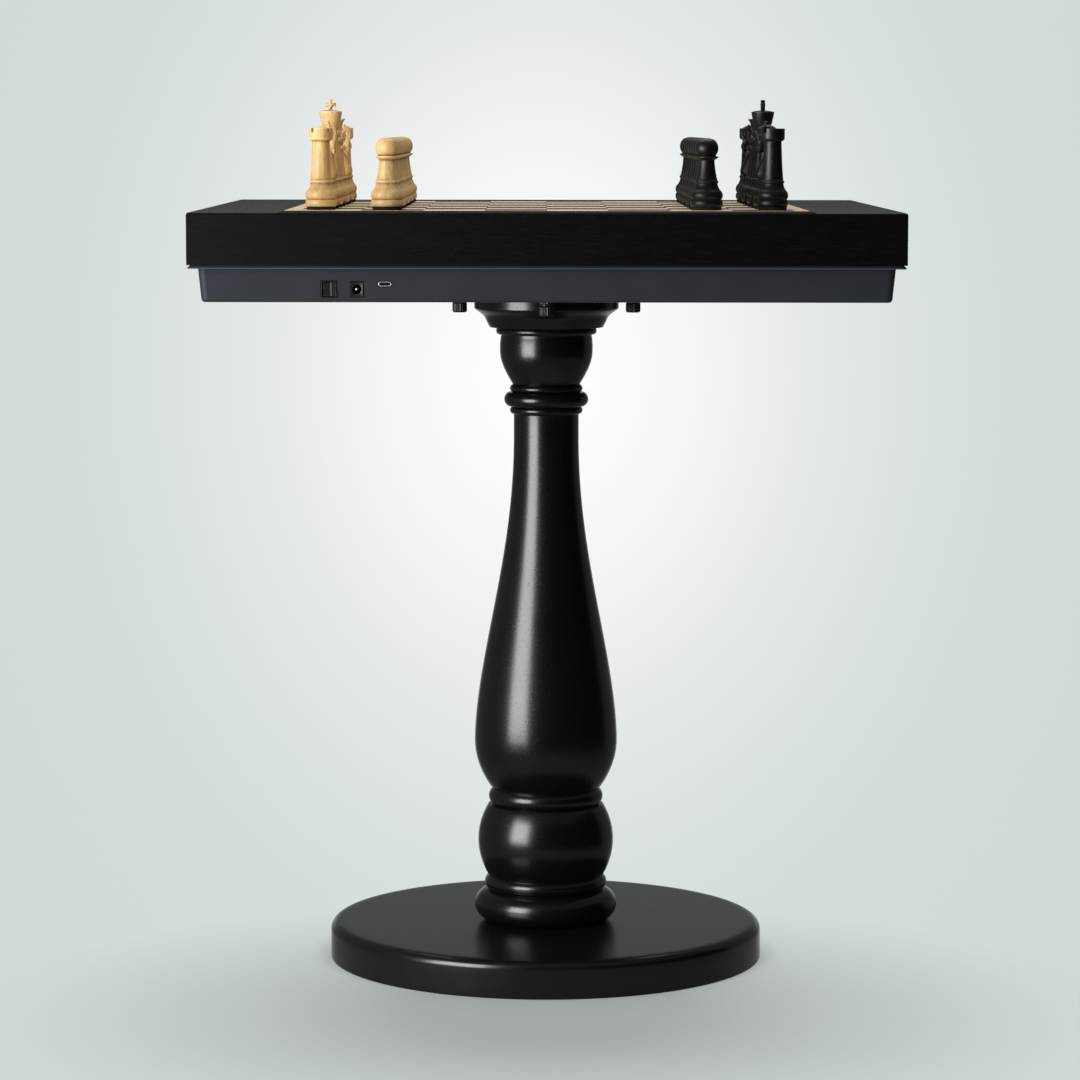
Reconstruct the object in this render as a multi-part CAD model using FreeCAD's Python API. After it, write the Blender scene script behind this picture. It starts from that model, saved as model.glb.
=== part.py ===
import FreeCAD, Part
import math
import os

# An electronic chess computer: a self-moving chess board in a wooden box with 32 chessmen,
# on a turned pedestal. Millimetres, +Z up, origin on the floor under the column's axis.
# The connectors face -Y, the light chessmen stand on the -X side and the dark ones on +X.

# Playing field
SQUARE = 43.0                 # side of one playing square
SQUARES = 8                   # squares along each side of the field
BORDER_STRIP = 10.0           # light strip round the field
INLAY_KERF = 0.3              # dark line between two light pieces that meet at a corner
INLAY_THICKNESS = 1.0
PANEL_THICKNESS = 4.0
SENSOR_BOARD_THICKNESS = 1.6
SENSOR_SIZE = 3.0
SENSOR_THICKNESS = 0.8

# Wooden frame
FRAME_MARGIN = 62.0           # dark wood from the border strip to the outer edge
FRAME_HEIGHT = 35.5
FRAME_WALL = 12.0
REBATE_WIDTH = 8.0            # ledge that carries the sensor board and the panel
REBATE_THICKNESS = 2.4
FRAME_EDGE_ROUND = 1.7
PANEL_CLEARANCE = 0.1         # all round the panel and the sensor board

# Lower tray
TRAY_BODY_HEIGHT = 23.0
TRAY_LIP = 2.5
TRAY_LIP_INSET = 0.5          # lip edge behind the frame's face
TRAY_LIP_EDGE = 0.7           # upright part of the lip's edge, below its bevel
TRAY_LIP_BEVEL = 1.8          # how far the bevel leans in at the top
TRAY_INSET = 7.0              # tray wall behind the frame's face, at the top
TRAY_DRAFT = 2.2              # how far the wall leans in at the bottom
TRAY_WALL = 3.0
TRAY_FLOOR = 2.6
TRAY_CORNER = 5.0
TRAY_LIP_CORNER = 3.0
TRAY_BOTTOM_ROUND = 2.5

# Pedestal
BASE_RADIUS = 160.5
BASE_THICKNESS = 27.5
BASE_EDGE_ROUND = 6.5
FOOT_RADIUS = 53.0            # big torus that stands on the base
FOOT_SEAT_RADIUS = 43.0
FOOT_HEIGHT = 23.2
LOWER_RING_RADIUS = 45.5
LOWER_RING_HEIGHT = 10.3
BALL_RADIUS = 50.4
BALL_HEIGHT = 53.4
UPPER_RING_RADIUS = 42.5
UPPER_RING_HEIGHT = 12.1
VASE_FOOT_RADIUS = 39.7
VASE_BELLY_RADIUS = 53.0
VASE_BELLY_HEIGHT = 36.5      # belly above the vase's foot
VASE_NECK_RADIUS = 24.0
VASE_NECK_HEIGHT = 263.5      # slimmest place above the vase's foot
VASE_HEIGHT = 279.5
SMALL_NECK_RING_RADIUS = 26.9
SMALL_NECK_RING_HEIGHT = 5.9
BIG_NECK_RING_RADIUS = 31.1
BIG_NECK_RING_HEIGHT = 10.2
CUP_FOOT_RADIUS = 24.8
CUP_BELLY_RADIUS = 34.3
CUP_BELLY_HEIGHT = 25.0
CUP_LIP_RADIUS = 33.4
CUP_HEIGHT = 37.0
COLLAR_RADIUS = 37.2
COLLAR_HEIGHT = 5.3
RING_GROOVE = 3.0             # how far a ring's root lies inside its crest
FLANGE_NECK_RADIUS = 42.0
FLANGE_RADIUS = 53.4
FLANGE_OGEE_HEIGHT = 14.7
FLANGE_HEIGHT = 24.1
PLATE_RADIUS = 75.0
PLATE_THICKNESS = 4.0

# Pedestal fasteners
TIE_ROD_RADIUS = 5.0
TIE_ROD_CLEARANCE = 0.3
TIE_ROD_TAIL = 2.0            # rod beyond the nut
NUT_WIDTH = 17.0              # across flats
NUT_HEIGHT = 8.0
WASHER_RADIUS = 12.0
WASHER_THICKNESS = 2.0
NUT_RECESS_RADIUS = 14.0
NUT_RECESS_SPARE = 2.0        # empty depth left beyond the rod
PLATE_SCREW_RADIUS = 2.0
PLATE_SCREW_HEAD_RADIUS = 4.0
PLATE_SCREW_LENGTH = 16.0
PLATE_SCREW_CIRCLE = 34.0
THUMBSCREW_COUNT = 4
THUMBSCREW_CIRCLE = 64.0
KNOB_RADIUS = 5.4
KNOB_HEIGHT = 13.4
KNOB_FLUTES = 18
KNOB_FLUTE_DEPTH = 0.45
SHANK_RADIUS = 2.5
SHANK_CLEARANCE = 0.25
SHANK_GRIP = 7.0              # shank inside the tray's boss
BOSS_RADIUS = 6.0
BOSS_HEIGHT = 10.0
LIP_SCREW_RADIUS = 1.2
LIP_SCREW_HEAD_RADIUS = 2.2
LIP_SCREW_LENGTH = 14.0
LIP_SCREW_PLACE = 130.0       # from the middle of each side

# Connectors in the tray's front wall, measured from the column's axis
CONNECTOR_HEIGHT = 6.4        # middle of switch and jack above the tray's floor
CONNECTOR_PROUD = 0.6         # front face before the wall at that height
SWITCH_X = -148.0
SWITCH_WIDTH = 11.4
SWITCH_HEIGHT = 12.2
SWITCH_DEPTH = 15.0
SWITCH_RIM = 1.0
SWITCH_WELL = 7.0
ROCKER_PIVOT_DEPTH = 3.0
ROCKER_SIDE_GAP = 0.7
ROCKER_END_GAP = 0.35
ROCKER_BACK = 2.0             # rocker behind its pivot
ROCKER_ANGLE = 9.0            # half of the rocker's whole swing
ROCKER_PIN_RADIUS = 1.0
ROCKER_PIN_REACH = 0.7        # pin inside the rim
RUNNING_FIT = 0.05            # radial clearance of every turning or sliding fit
JACK_X = -129.0
JACK_WIDTH = 9.4
JACK_HEIGHT = 11.4
JACK_DEPTH = 14.0
JACK_BORE_RADIUS = 3.2
JACK_BORE_DEPTH = 9.5
JACK_PIN_RADIUS = 1.05
JACK_PIN_SETBACK = 0.8
USB_X = -110.0
USB_WIDTH = 8.94
USB_HEIGHT = 3.26
USB_DEPTH = 10.5
USB_WALL = 0.35
USB_HOLE_MARGIN = 0.4
USB_TONGUE_WIDTH = 6.7
USB_TONGUE_THICKNESS = 0.7
USB_TONGUE_SETBACK = 0.6
USB_ABOVE_FLOOR = 10.0        # middle of the port above the tray's floor

# Circuit board in the tray
CIRCUIT_BOARD_WIDTH = 90.0
CIRCUIT_BOARD_DEPTH = 74.0
CIRCUIT_BOARD_THICKNESS = 1.6
CIRCUIT_BOARD_SCREW_INSET = 5.0
CIRCUIT_BOARD_SCREW_RADIUS = 1.25
CIRCUIT_BOARD_SCREW_HEAD = 2.4
CIRCUIT_BOARD_SCREW_LENGTH = 6.0
STANDOFF_RADIUS = 3.0
CHIP_THICKNESS = 1.5
CIRCUIT_BOARD_GAP = 3.3       # board to the jack beside it and to the wall in front
PLUG_BLOCK_WIDTH = 6.0
PLUG_BLOCK_HEIGHT = 5.0
LEAD_RADIUS = 0.8
LEAD_PITCH = 3.0
LEAD_BEND = 5.0
LEAD_RUN = 24.0               # straight stretch behind the switch

# Drive under the board
X_ROD_RADIUS = 4.0
X_ROD_FROM_WALL = 15.8        # rod to the tray wall behind it
X_ROD_BELOW_LEDGE = 10.4
ROD_END_COVER = 1.5           # post behind the rod's end
POST_DEPTH = 8.0
POST_WIDTH = 16.0
POST_WALL_GAP = 0.6           # post to the tray's wall, at the floor
POST_ABOVE_ROD = 8.0
TRUCK_LENGTH = 54.0
TRUCK_WIDTH = 20.0
TRUCK_HEIGHT = 16.0
Y_ROD_RADIUS = 3.0
Y_ROD_X = 19.0
Y_ROD_RISE = 2.0              # Y rods above the X rods
Y_ROD_SOCKET = 3.0
CARRIAGE_LENGTH = 52.0
CARRIAGE_WIDTH = 40.0
CARRIAGE_HEIGHT = 10.0
CARRIAGE_FLOOR = 2.0
MAGNET_RADIUS = 12.5
MAGNET_CLEARANCE = 0.1
MAGNET_TOP_GAP = 0.5          # electromagnet under the frame's ledge
PULLEY_RADIUS = 6.0
PULLEY_FLANGE = 2.2
PULLEY_FLANGE_THICKNESS = 0.8
PULLEY_SPACE = 0.5            # pulley to the faces above and below it
BELT_THICKNESS = 1.4
BELT_WIDTH = 4.0
BELT_SIDE_GAP = 0.2
BELT_CLEARANCE = 0.1
CLAMP_GAP = 0.3
CLAMP_THICKNESS = 4.0
CLAMP_LENGTH = 16.0
SHAFT_RADIUS = 2.0
SHAFT_DEPTH = 12.0            # shaft inside the motor
X_MOTOR_SIZE = 35.0
X_MOTOR_HEIGHT = 17.0
X_PULLEY_FROM_WALL = 27.8
X_BELT_FROM_ROD = 15.0        # belt pulleys inside the front rod
Y_MOTOR_SIZE = 28.0
Y_MOTOR_HEIGHT = 20.0
Y_PULLEY_FROM_TRUCK = 15.0
MOTOR_CORNER = 3.0
BRACKET_THICKNESS = 2.5
BRACKET_WIDTH = 32.0
TONGUE_THICKNESS = 3.0
TONGUE_WIDTH = 16.0
IDLER_PIN_RADIUS = 2.0
IDLER_HEAD_RADIUS = 3.2
IDLER_HEAD_THICKNESS = 0.8
IDLER_HEAD_GAP = 0.3
IDLER_BOSS_RADIUS = 5.0

# Chessmen
BACK_RANK_SHIFT = 7.0         # back ranks stand outwards from the middle of their squares
PAWN_RANK_SHIFT = 3.9
FELT_THICKNESS = 2.4
FELT_INSET = 0.8
PIECE_MAGNET_RADIUS = 4.0
PIECE_MAGNET_HEIGHT = 3.0
PLINTH_HEIGHT = 6.6           # felt and plinth together
PLINTH_BEAD = 0.7             # crest of the plinth before its edges
PLINTH_GROOVE = 1.1           # groove above the plinth
BULGE_HEIGHT = 7.2
COVE_HEIGHT = 4.6
RING_HEIGHT = 2.4
RING_CREST = 0.9              # ring before the stem above it
COLLAR_BEAD_HEIGHT = 2.6      # bead under the head of bishop, queen and king
COLLAR_BEAD_CREST = 2.6
NECK_HEIGHT = 1.6
STEM_HOLLOW = 0.35            # share of a stem's taper that is left at half its height
PAWN_HEIGHT = 50.1
PAWN_BASE_RADIUS = 11.5
PAWN_STEM_RADIUS = 7.6        # stem just above the ring
PAWN_WAIST_RADIUS = 5.5
PAWN_COLLAR_RADIUS = 8.3
PAWN_COLLAR_HEIGHT = 3.2
PAWN_COLLAR_FLARE = 1.9       # height of the collar's slanted underside
PAWN_COLLAR_EDGE = 0.6        # height of its upright edge
PAWN_NECK_RADIUS = 6.2        # between collar and head
PAWN_HEAD_RADIUS = 8.2
PAWN_HEAD_HEIGHT = 12.2
PAWN_HEAD_MIDDLE = 5.5        # widest place above the head's foot
PAWN_CAP_RADIUS = 5.4         # shallow cap on the head
PAWN_CAP_HEIGHT = 1.2
ROOK_HEIGHT = 56.8
ROOK_BASE_RADIUS = 11.0
ROOK_STEM_RADIUS = 7.5
ROOK_WAIST_RADIUS = 6.1
ROOK_TURRET_RADIUS = 8.3
ROOK_TURRET_HEIGHT = 6.6      # its upright part
ROOK_SHOULDER = 2.2           # height of the turret's rounded underside
ROOK_WELL_RADIUS = 5.6
ROOK_WELL_DEPTH = 3.0
ROOK_NOTCH_WIDTH = 2.4
KNIGHT_HEIGHT = 60.0
KNIGHT_BASE_RADIUS = 11.2
KNIGHT_STEM_RADIUS = 7.4
KNIGHT_FOOT_THICKNESS = 13.0
KNIGHT_CROWN_THICKNESS = 7.4
BISHOP_HEIGHT = 62.0
BISHOP_BASE_RADIUS = 11.2
BISHOP_STEM_RADIUS = 7.1
BISHOP_WAIST_RADIUS = 4.6
BISHOP_HEAD_RADIUS = 6.7
BISHOP_HEAD_HEIGHT = 13.6
BISHOP_HEAD_MIDDLE = 5.4      # widest place above the head's foot
BISHOP_FINIAL_RADIUS = 1.9
BISHOP_FINIAL_NECK = 1.3
BISHOP_SLOT_WIDTH = 1.4
BISHOP_SLOT_FROM_AXIS = 1.3
BISHOP_SLOT_SLOPE = 50.0      # degrees above the level
QUEEN_HEIGHT = 67.2
QUEEN_BASE_RADIUS = 11.5
QUEEN_STEM_RADIUS = 7.3
QUEEN_WAIST_RADIUS = 5.0
QUEEN_CROWN_RADIUS = 8.4
QUEEN_CROWN_MIDDLE = 5.9      # radius at half the crown's height
QUEEN_CROWN_HEIGHT = 12.4
QUEEN_CROWN_WALL = 1.4
QUEEN_CROWN_POINTS = 9
QUEEN_BALL_RADIUS = 1.9
QUEEN_BALL_NECK = 1.1
QUEEN_NOTCH_RADIUS = 1.95
QUEEN_NOTCH_RAISE = 0.6       # middle of a notch above the rim
KING_HEIGHT = 77.4
KING_BASE_RADIUS = 11.5
KING_STEM_RADIUS = 7.5
KING_WAIST_RADIUS = 5.4
KING_CROWN_RADIUS = 8.4
KING_CROWN_MIDDLE = 7.2       # radius at half the crown's height
KING_CROWN_HEIGHT = 12.4
KING_CROWN_DOME = 1.2
CROSS_HEIGHT = 7.5
CROSS_SPAN = 7.8
CROSS_THICKNESS = 3.2
CROSS_ROOT = 1.0              # cross sunk in the crown
CROSS_ARM_HEIGHT = 3.6        # middle of the arms above the crown

# Plan sizes that follow from the driving ones
FIELD_HALF = SQUARE * SQUARES / 2
STRIP_HALF = FIELD_HALF + BORDER_STRIP
FRAME_HALF = STRIP_HALF + FRAME_MARGIN
WALL_INSIDE = FRAME_HALF - FRAME_WALL
TRAY_HALF = FRAME_HALF - TRAY_INSET
TRAY_FOOT_HALF = TRAY_HALF - TRAY_DRAFT

# Heights above the floor
COLUMN_STACK = (FOOT_HEIGHT, LOWER_RING_HEIGHT, BALL_HEIGHT, UPPER_RING_HEIGHT, VASE_HEIGHT,
                SMALL_NECK_RING_HEIGHT, BIG_NECK_RING_HEIGHT, SMALL_NECK_RING_HEIGHT,
                CUP_HEIGHT, COLLAR_HEIGHT)
COLUMN_TOP = BASE_THICKNESS + sum(COLUMN_STACK)
FLANGE_TOP = COLUMN_TOP + FLANGE_HEIGHT
TRAY_BOTTOM = FLANGE_TOP + PLATE_THICKNESS
FLOOR_TOP = TRAY_BOTTOM + TRAY_FLOOR
LIP_BOTTOM = TRAY_BOTTOM + TRAY_BODY_HEIGHT
FRAME_BOTTOM = LIP_BOTTOM + TRAY_LIP
BOARD_TOP = FRAME_BOTTOM + FRAME_HEIGHT
PANEL_BOTTOM = BOARD_TOP - PANEL_THICKNESS
SENSOR_BOTTOM = PANEL_BOTTOM - SENSOR_BOARD_THICKNESS
LEDGE_BOTTOM = SENSOR_BOTTOM - REBATE_THICKNESS

UP = FreeCAD.Vector(0, 0, 1)
ALONG_X = FreeCAD.Vector(1, 0, 0)
ALONG_Y = FreeCAD.Vector(0, 1, 0)
CENTRE = FreeCAD.Vector(0, 0, 0)
SAME_POINT = 1e-6             # points closer than this need no edge between them


def point(x, y, z):
    return FreeCAD.Vector(x, y, z)


def save(name, solids):
    """Write one node from a solid or from a list of separate solids."""
    shape = Part.makeCompound(solids) if isinstance(solids, list) else solids
    if not shape.isValid():
        raise ValueError(name + " is not a valid shape")
    shape.exportStep(os.path.join("parts", name + ".step"))
    print(name, len(shape.Solids), "solids", round(shape.Volume), "mm3")


def box(x0, x1, y0, y1, z0, z1):
    """A block between two corners."""
    return Part.makeBox(x1 - x0, y1 - y0, z1 - z0, point(x0, y0, z0))


def post(radius, x, y, z0, z1):
    """An upright cylinder from z0 to z1."""
    return Part.makeCylinder(radius, z1 - z0, point(x, y, z0), UP)


def tube(inner, outer, x, y, z0, z1):
    """An upright cylinder with a through bore."""
    return post(outer, x, y, z0, z1).cut(post(inner, x, y, z0, z1))


def outline_wire(steps, place):
    """A closed wire. A step (u, v) is reached by a line, ((um, vm), (u, v)) by an arc through um, vm."""
    edges = []
    first = steps[0]
    last = first
    for step in steps[1:] + [first]:
        if isinstance(step[0], tuple):
            middle, end = step
            edges.append(Part.Arc(place(*last), place(*middle), place(*end)).toShape())
        else:
            end = step
            if place(*last).distanceToPoint(place(*end)) > SAME_POINT:
                edges.append(Part.LineSegment(place(*last), place(*end)).toShape())
        last = end
    return Part.Wire(edges)


def turned(steps):
    """Revolve an outline of (radius, height) steps about the Z axis."""
    wire = outline_wire(steps, lambda r, z: point(r, 0, z))
    return Part.Face(wire).revolve(CENTRE, UP, 360)


def rounded_square(half, corner, z):
    """A horizontal square wire with round corners, centred on the column's axis."""
    inner = half - corner
    slant = inner + corner * math.cos(math.pi / 4)
    steps = [(inner, -half)]
    steps.append(((slant, -slant), (half, -inner)))
    steps.append((half, inner))
    steps.append(((slant, slant), (inner, half)))
    steps.append((-inner, half))
    steps.append(((-slant, slant), (-half, inner)))
    steps.append((-half, -inner))
    steps.append(((-slant, -slant), (-inner, -half)))
    return outline_wire(steps, lambda x, y: point(x, y, z))


def hexagon(width, x, y, z0, z1):
    """A hexagonal bar, width measured across flats."""
    corner = width / math.sqrt(3)
    angles = [math.radians(60 * side) for side in range(6)]
    ring = [point(x + corner * math.cos(a), y + corner * math.sin(a), z0) for a in angles]
    return Part.Face(Part.makePolygon(ring + ring[:1])).extrude(UP * (z1 - z0))


def around(count, radius, turn=0.0):
    """Places evenly spaced on a circle about the column's axis."""
    angles = [turn + 2 * math.pi * n / count for n in range(count)]
    return [(radius * math.cos(a), radius * math.sin(a)) for a in angles]


def bead(root, crest, z0, z1):
    """Two steps of an outline: out to the root at z0, then a round bead up to the root at z1."""
    return [(root, z0), ((crest, (z0 + z1) / 2), (root, z1))]


# Base disc
NUT_STACK = WASHER_THICKNESS + NUT_HEIGHT + TIE_ROD_TAIL
NUT_RECESS_DEPTH = NUT_STACK + NUT_RECESS_SPARE
ROD_BORE = TIE_ROD_RADIUS + TIE_ROD_CLEARANCE


def base_disc():
    """Round base with a rounded upper edge and a recess for the lower nut."""
    round_45 = BASE_EDGE_ROUND * (1 - math.sqrt(0.5))
    steps = [(ROD_BORE, BASE_THICKNESS), (ROD_BORE, NUT_RECESS_DEPTH)]
    steps.append((NUT_RECESS_RADIUS, NUT_RECESS_DEPTH))
    steps.append((NUT_RECESS_RADIUS, 0))
    steps.append((BASE_RADIUS, 0))
    steps.append((BASE_RADIUS, BASE_THICKNESS - BASE_EDGE_ROUND))
    shoulder = (BASE_RADIUS - round_45, BASE_THICKNESS - round_45)
    steps.append((shoulder, (BASE_RADIUS - BASE_EDGE_ROUND, BASE_THICKNESS)))
    return turned(steps)


# Turned column
VASE_CURVE_BEND = 0.85        # exponent that draws the vase's curve towards its belly
VASE_CURVE_POINTS = 8


def vase_curve(foot):
    """Points of the vase: a sine from foot to belly, then a cosine from belly to neck."""
    points = []
    for n in range(VASE_CURVE_POINTS):
        share = n / VASE_CURVE_POINTS
        swell = math.sin(math.pi / 2 * share ** VASE_CURVE_BEND)
        radius = VASE_FOOT_RADIUS + (VASE_BELLY_RADIUS - VASE_FOOT_RADIUS) * swell
        points.append(point(radius, 0, foot + VASE_BELLY_HEIGHT * share))
    for n in range(VASE_CURVE_POINTS + 1):
        share = n / VASE_CURVE_POINTS
        fall = (1 + math.cos(math.pi * share ** VASE_CURVE_BEND)) / 2
        radius = VASE_NECK_RADIUS + (VASE_BELLY_RADIUS - VASE_NECK_RADIUS) * fall
        height = VASE_BELLY_HEIGHT + (VASE_NECK_HEIGHT - VASE_BELLY_HEIGHT) * share
        points.append(point(radius, 0, foot + height))
    points.append(point(VASE_NECK_RADIUS, 0, foot + VASE_HEIGHT))
    return points


def cup_curve(foot):
    """Points of the cup: a sine from its foot to its belly, then a short turn in to its lip."""
    points = []
    for n in range(VASE_CURVE_POINTS // 2):
        share = 2 * n / VASE_CURVE_POINTS
        swell = math.sin(math.pi / 2 * share)
        radius = CUP_FOOT_RADIUS + (CUP_BELLY_RADIUS - CUP_FOOT_RADIUS) * swell
        points.append(point(radius, 0, foot + CUP_BELLY_HEIGHT * share))
    points.append(point(CUP_BELLY_RADIUS, 0, foot + CUP_BELLY_HEIGHT))
    points.append(point(CUP_LIP_RADIUS, 0, foot + CUP_HEIGHT))
    return points


def turned_edges(edges):
    """Revolve a chain of edges in the XZ plane about the Z axis."""
    return Part.Face(Part.Wire(Part.__sortEdges__(edges))).revolve(CENTRE, UP, 360)


def curve_edge(points):
    """A smooth curve through points."""
    curve = Part.BSplineCurve()
    curve.interpolate(points)
    return curve.toShape()


def straight(r0, z0, r1, z1):
    return Part.LineSegment(point(r0, 0, z0), point(r1, 0, z1)).toShape()


def arc_edge(r0, z0, rm, zm, r1, z1):
    return Part.Arc(point(r0, 0, z0), point(rm, 0, zm), point(r1, 0, z1)).toShape()


def column():
    """One turned post: foot torus, ring, ball, ring, vase, three neck rings, cup and collar."""
    edges = []
    height = BASE_THICKNESS
    pen = [FOOT_SEAT_RADIUS, height]
    edges.append(straight(ROD_BORE, height, *pen))

    def to(r, z):
        if abs(r - pen[0]) + abs(z - pen[1]) > SAME_POINT:
            edges.append(straight(pen[0], pen[1], r, z))
        pen[:] = [r, z]

    def bulge(root, crest, tall):
        """A round member whose crest is at the middle of its height."""
        low = pen[1]
        to(root, low)
        edges.append(arc_edge(root, low, crest, low + tall / 2, root, low + tall))
        pen[:] = [root, low + tall]

    def smooth(points):
        to(points[0].x, points[0].z)
        edges.append(curve_edge(points))
        pen[:] = [points[-1].x, points[-1].z]

    bulge(FOOT_SEAT_RADIUS, FOOT_RADIUS, FOOT_HEIGHT)
    bulge(LOWER_RING_RADIUS - RING_GROOVE, LOWER_RING_RADIUS, LOWER_RING_HEIGHT)
    ball_root = math.sqrt(BALL_RADIUS ** 2 - (BALL_HEIGHT / 2) ** 2)
    bulge(ball_root, BALL_RADIUS, BALL_HEIGHT)
    bulge(UPPER_RING_RADIUS - RING_GROOVE, UPPER_RING_RADIUS, UPPER_RING_HEIGHT)
    smooth(vase_curve(pen[1]))
    bulge(SMALL_NECK_RING_RADIUS - RING_GROOVE, SMALL_NECK_RING_RADIUS, SMALL_NECK_RING_HEIGHT)
    bulge(BIG_NECK_RING_RADIUS - RING_GROOVE, BIG_NECK_RING_RADIUS, BIG_NECK_RING_HEIGHT)
    bulge(SMALL_NECK_RING_RADIUS - RING_GROOVE, SMALL_NECK_RING_RADIUS, SMALL_NECK_RING_HEIGHT)
    smooth(cup_curve(pen[1]))
    bulge(COLLAR_RADIUS - RING_GROOVE / 2, COLLAR_RADIUS, COLLAR_HEIGHT)
    edges.append(straight(pen[0], pen[1], ROD_BORE, COLUMN_TOP))
    edges.append(straight(ROD_BORE, COLUMN_TOP, ROD_BORE, BASE_THICKNESS))
    return turned_edges(edges)


# Top flange, mounting plate and the screws that hold them
OGEE_SHARES = ((0, 0), (0.24, 0.16), (0.44, 0.27), (0.64, 0.47), (0.84, 0.83), (1, 1))
PLATE_SCREW_PLACES = around(4, PLATE_SCREW_CIRCLE, math.pi / 4)
THUMBSCREW_PLACES = around(THUMBSCREW_COUNT, THUMBSCREW_CIRCLE)


def countersunk(x, y, top, shank, head, length):
    """A flat-headed screw that points down from top."""
    cone = Part.makeCone(shank, head, head - shank, point(x, y, top - head + shank), UP)
    return cone.fuse(post(shank, x, y, top - length, top - head + shank)).removeSplitter()


def plate_screws():
    sizes = (PLATE_SCREW_RADIUS, PLATE_SCREW_HEAD_RADIUS, PLATE_SCREW_LENGTH)
    return [countersunk(x, y, TRAY_BOTTOM, *sizes) for x, y in PLATE_SCREW_PLACES]


def top_flange():
    """Turned disc with an ogee edge, bored for the tie rod and its upper nut."""
    grow = FLANGE_RADIUS - FLANGE_NECK_RADIUS
    ogee = []
    for up, out in OGEE_SHARES:
        ogee.append(point(FLANGE_NECK_RADIUS + grow * out, 0, COLUMN_TOP + FLANGE_OGEE_HEIGHT * up))
    seat = FLANGE_TOP - NUT_RECESS_DEPTH
    edges = [straight(ROD_BORE, COLUMN_TOP, FLANGE_NECK_RADIUS, COLUMN_TOP)]
    edges.append(curve_edge(ogee))
    edges.append(straight(FLANGE_RADIUS, ogee[-1].z, FLANGE_RADIUS, FLANGE_TOP))
    edges.append(straight(FLANGE_RADIUS, FLANGE_TOP, NUT_RECESS_RADIUS, FLANGE_TOP))
    edges.append(straight(NUT_RECESS_RADIUS, FLANGE_TOP, NUT_RECESS_RADIUS, seat))
    edges.append(straight(NUT_RECESS_RADIUS, seat, ROD_BORE, seat))
    edges.append(straight(ROD_BORE, seat, ROD_BORE, COLUMN_TOP))
    flange = turned_edges(edges)
    for screw in plate_screws():
        flange = flange.cut(screw)
    return flange


def mounting_plate():
    """Steel disc that the tray is clamped to."""
    plate = post(PLATE_RADIUS, 0, 0, FLANGE_TOP, TRAY_BOTTOM)
    for screw in plate_screws():
        plate = plate.cut(screw)
    for x, y in THUMBSCREW_PLACES:
        plate = plate.cut(post(SHANK_RADIUS + SHANK_CLEARANCE, x, y, FLANGE_TOP, TRAY_BOTTOM))
    return plate


def thumbscrew(x, y):
    """A fluted knob under the plate, with its shank up in the tray's boss."""
    low = FLANGE_TOP - KNOB_HEIGHT
    crest = KNOB_RADIUS
    root = KNOB_RADIUS - KNOB_FLUTE_DEPTH
    steps = []
    for n in range(KNOB_FLUTES):
        tooth = 2 * math.pi * n / KNOB_FLUTES
        dip = tooth + math.pi / KNOB_FLUTES
        after = tooth + 2 * math.pi / KNOB_FLUTES
        middle = (x + root * math.cos(dip), y + root * math.sin(dip))
        end = (x + crest * math.cos(after), y + crest * math.sin(after))
        if n == 0:
            steps.append((x + crest, y))
        steps.append((middle, end) if n < KNOB_FLUTES - 1 else (middle, steps[0]))
    wire = outline_wire(steps, lambda u, v: point(u, v, low))
    knob = Part.Face(wire).extrude(UP * KNOB_HEIGHT)
    return knob.fuse(post(SHANK_RADIUS, x, y, FLANGE_TOP, FLOOR_TOP + SHANK_GRIP)).removeSplitter()


def nut_and_washer(seat, direction):
    """A washer on its seat and a nut on the washer, upwards or downwards."""
    washer_end = seat + direction * WASHER_THICKNESS
    nut_end = washer_end + direction * NUT_HEIGHT
    washer_z = sorted((seat, washer_end))
    nut_z = sorted((washer_end, nut_end))
    washer = tube(TIE_ROD_RADIUS, WASHER_RADIUS, 0, 0, *washer_z)
    nut = hexagon(NUT_WIDTH, 0, 0, *nut_z).cut(post(TIE_ROD_RADIUS, 0, 0, *nut_z))
    return [washer, nut]


def steel_fasteners():
    """Tie rod with its nuts and washers, plate screws, lip screws and circuit board screws."""
    lower_seat = NUT_RECESS_DEPTH
    upper_seat = FLANGE_TOP - NUT_RECESS_DEPTH
    solids = [post(TIE_ROD_RADIUS, 0, 0, lower_seat - NUT_STACK, upper_seat + NUT_STACK)]
    solids += nut_and_washer(lower_seat, -1)
    solids += nut_and_washer(upper_seat, 1)
    return solids + plate_screws() + lip_screws() + circuit_board_screws()


# Lower tray
TRAY_LEAN = TRAY_DRAFT / TRAY_BODY_HEIGHT
TRAY_INSIDE = TRAY_FOOT_HALF - TRAY_WALL
X_ROD_Y = TRAY_INSIDE - X_ROD_FROM_WALL
X_ROD_Z = LEDGE_BOTTOM - X_ROD_BELOW_LEDGE
POST_OUTSIDE = TRAY_INSIDE - POST_WALL_GAP
X_PULLEY_X = TRAY_INSIDE - X_PULLEY_FROM_WALL
X_PULLEY_Y = -(X_ROD_Y - X_BELT_FROM_ROD)
PULLEY_HEIGHT = BELT_WIDTH + 2 * (BELT_SIDE_GAP + PULLEY_FLANGE_THICKNESS)
X_PULLEY_BOTTOM = FLOOR_TOP + X_MOTOR_HEIGHT + PULLEY_SPACE
CONNECTOR_Z = FLOOR_TOP + CONNECTOR_HEIGHT
USB_Z = FLOOR_TOP + USB_ABOVE_FLOOR
CIRCUIT_BOARD_TOP = USB_Z - USB_HEIGHT / 2
CIRCUIT_BOARD_BOTTOM = CIRCUIT_BOARD_TOP - CIRCUIT_BOARD_THICKNESS
CIRCUIT_BOARD_LEFT = JACK_X + JACK_WIDTH / 2 + CIRCUIT_BOARD_GAP
CIRCUIT_BOARD_FRONT = CIRCUIT_BOARD_GAP - TRAY_INSIDE
LIP_TOP_HALF = FRAME_HALF - TRAY_LIP_INSET - TRAY_LIP_BEVEL
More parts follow.
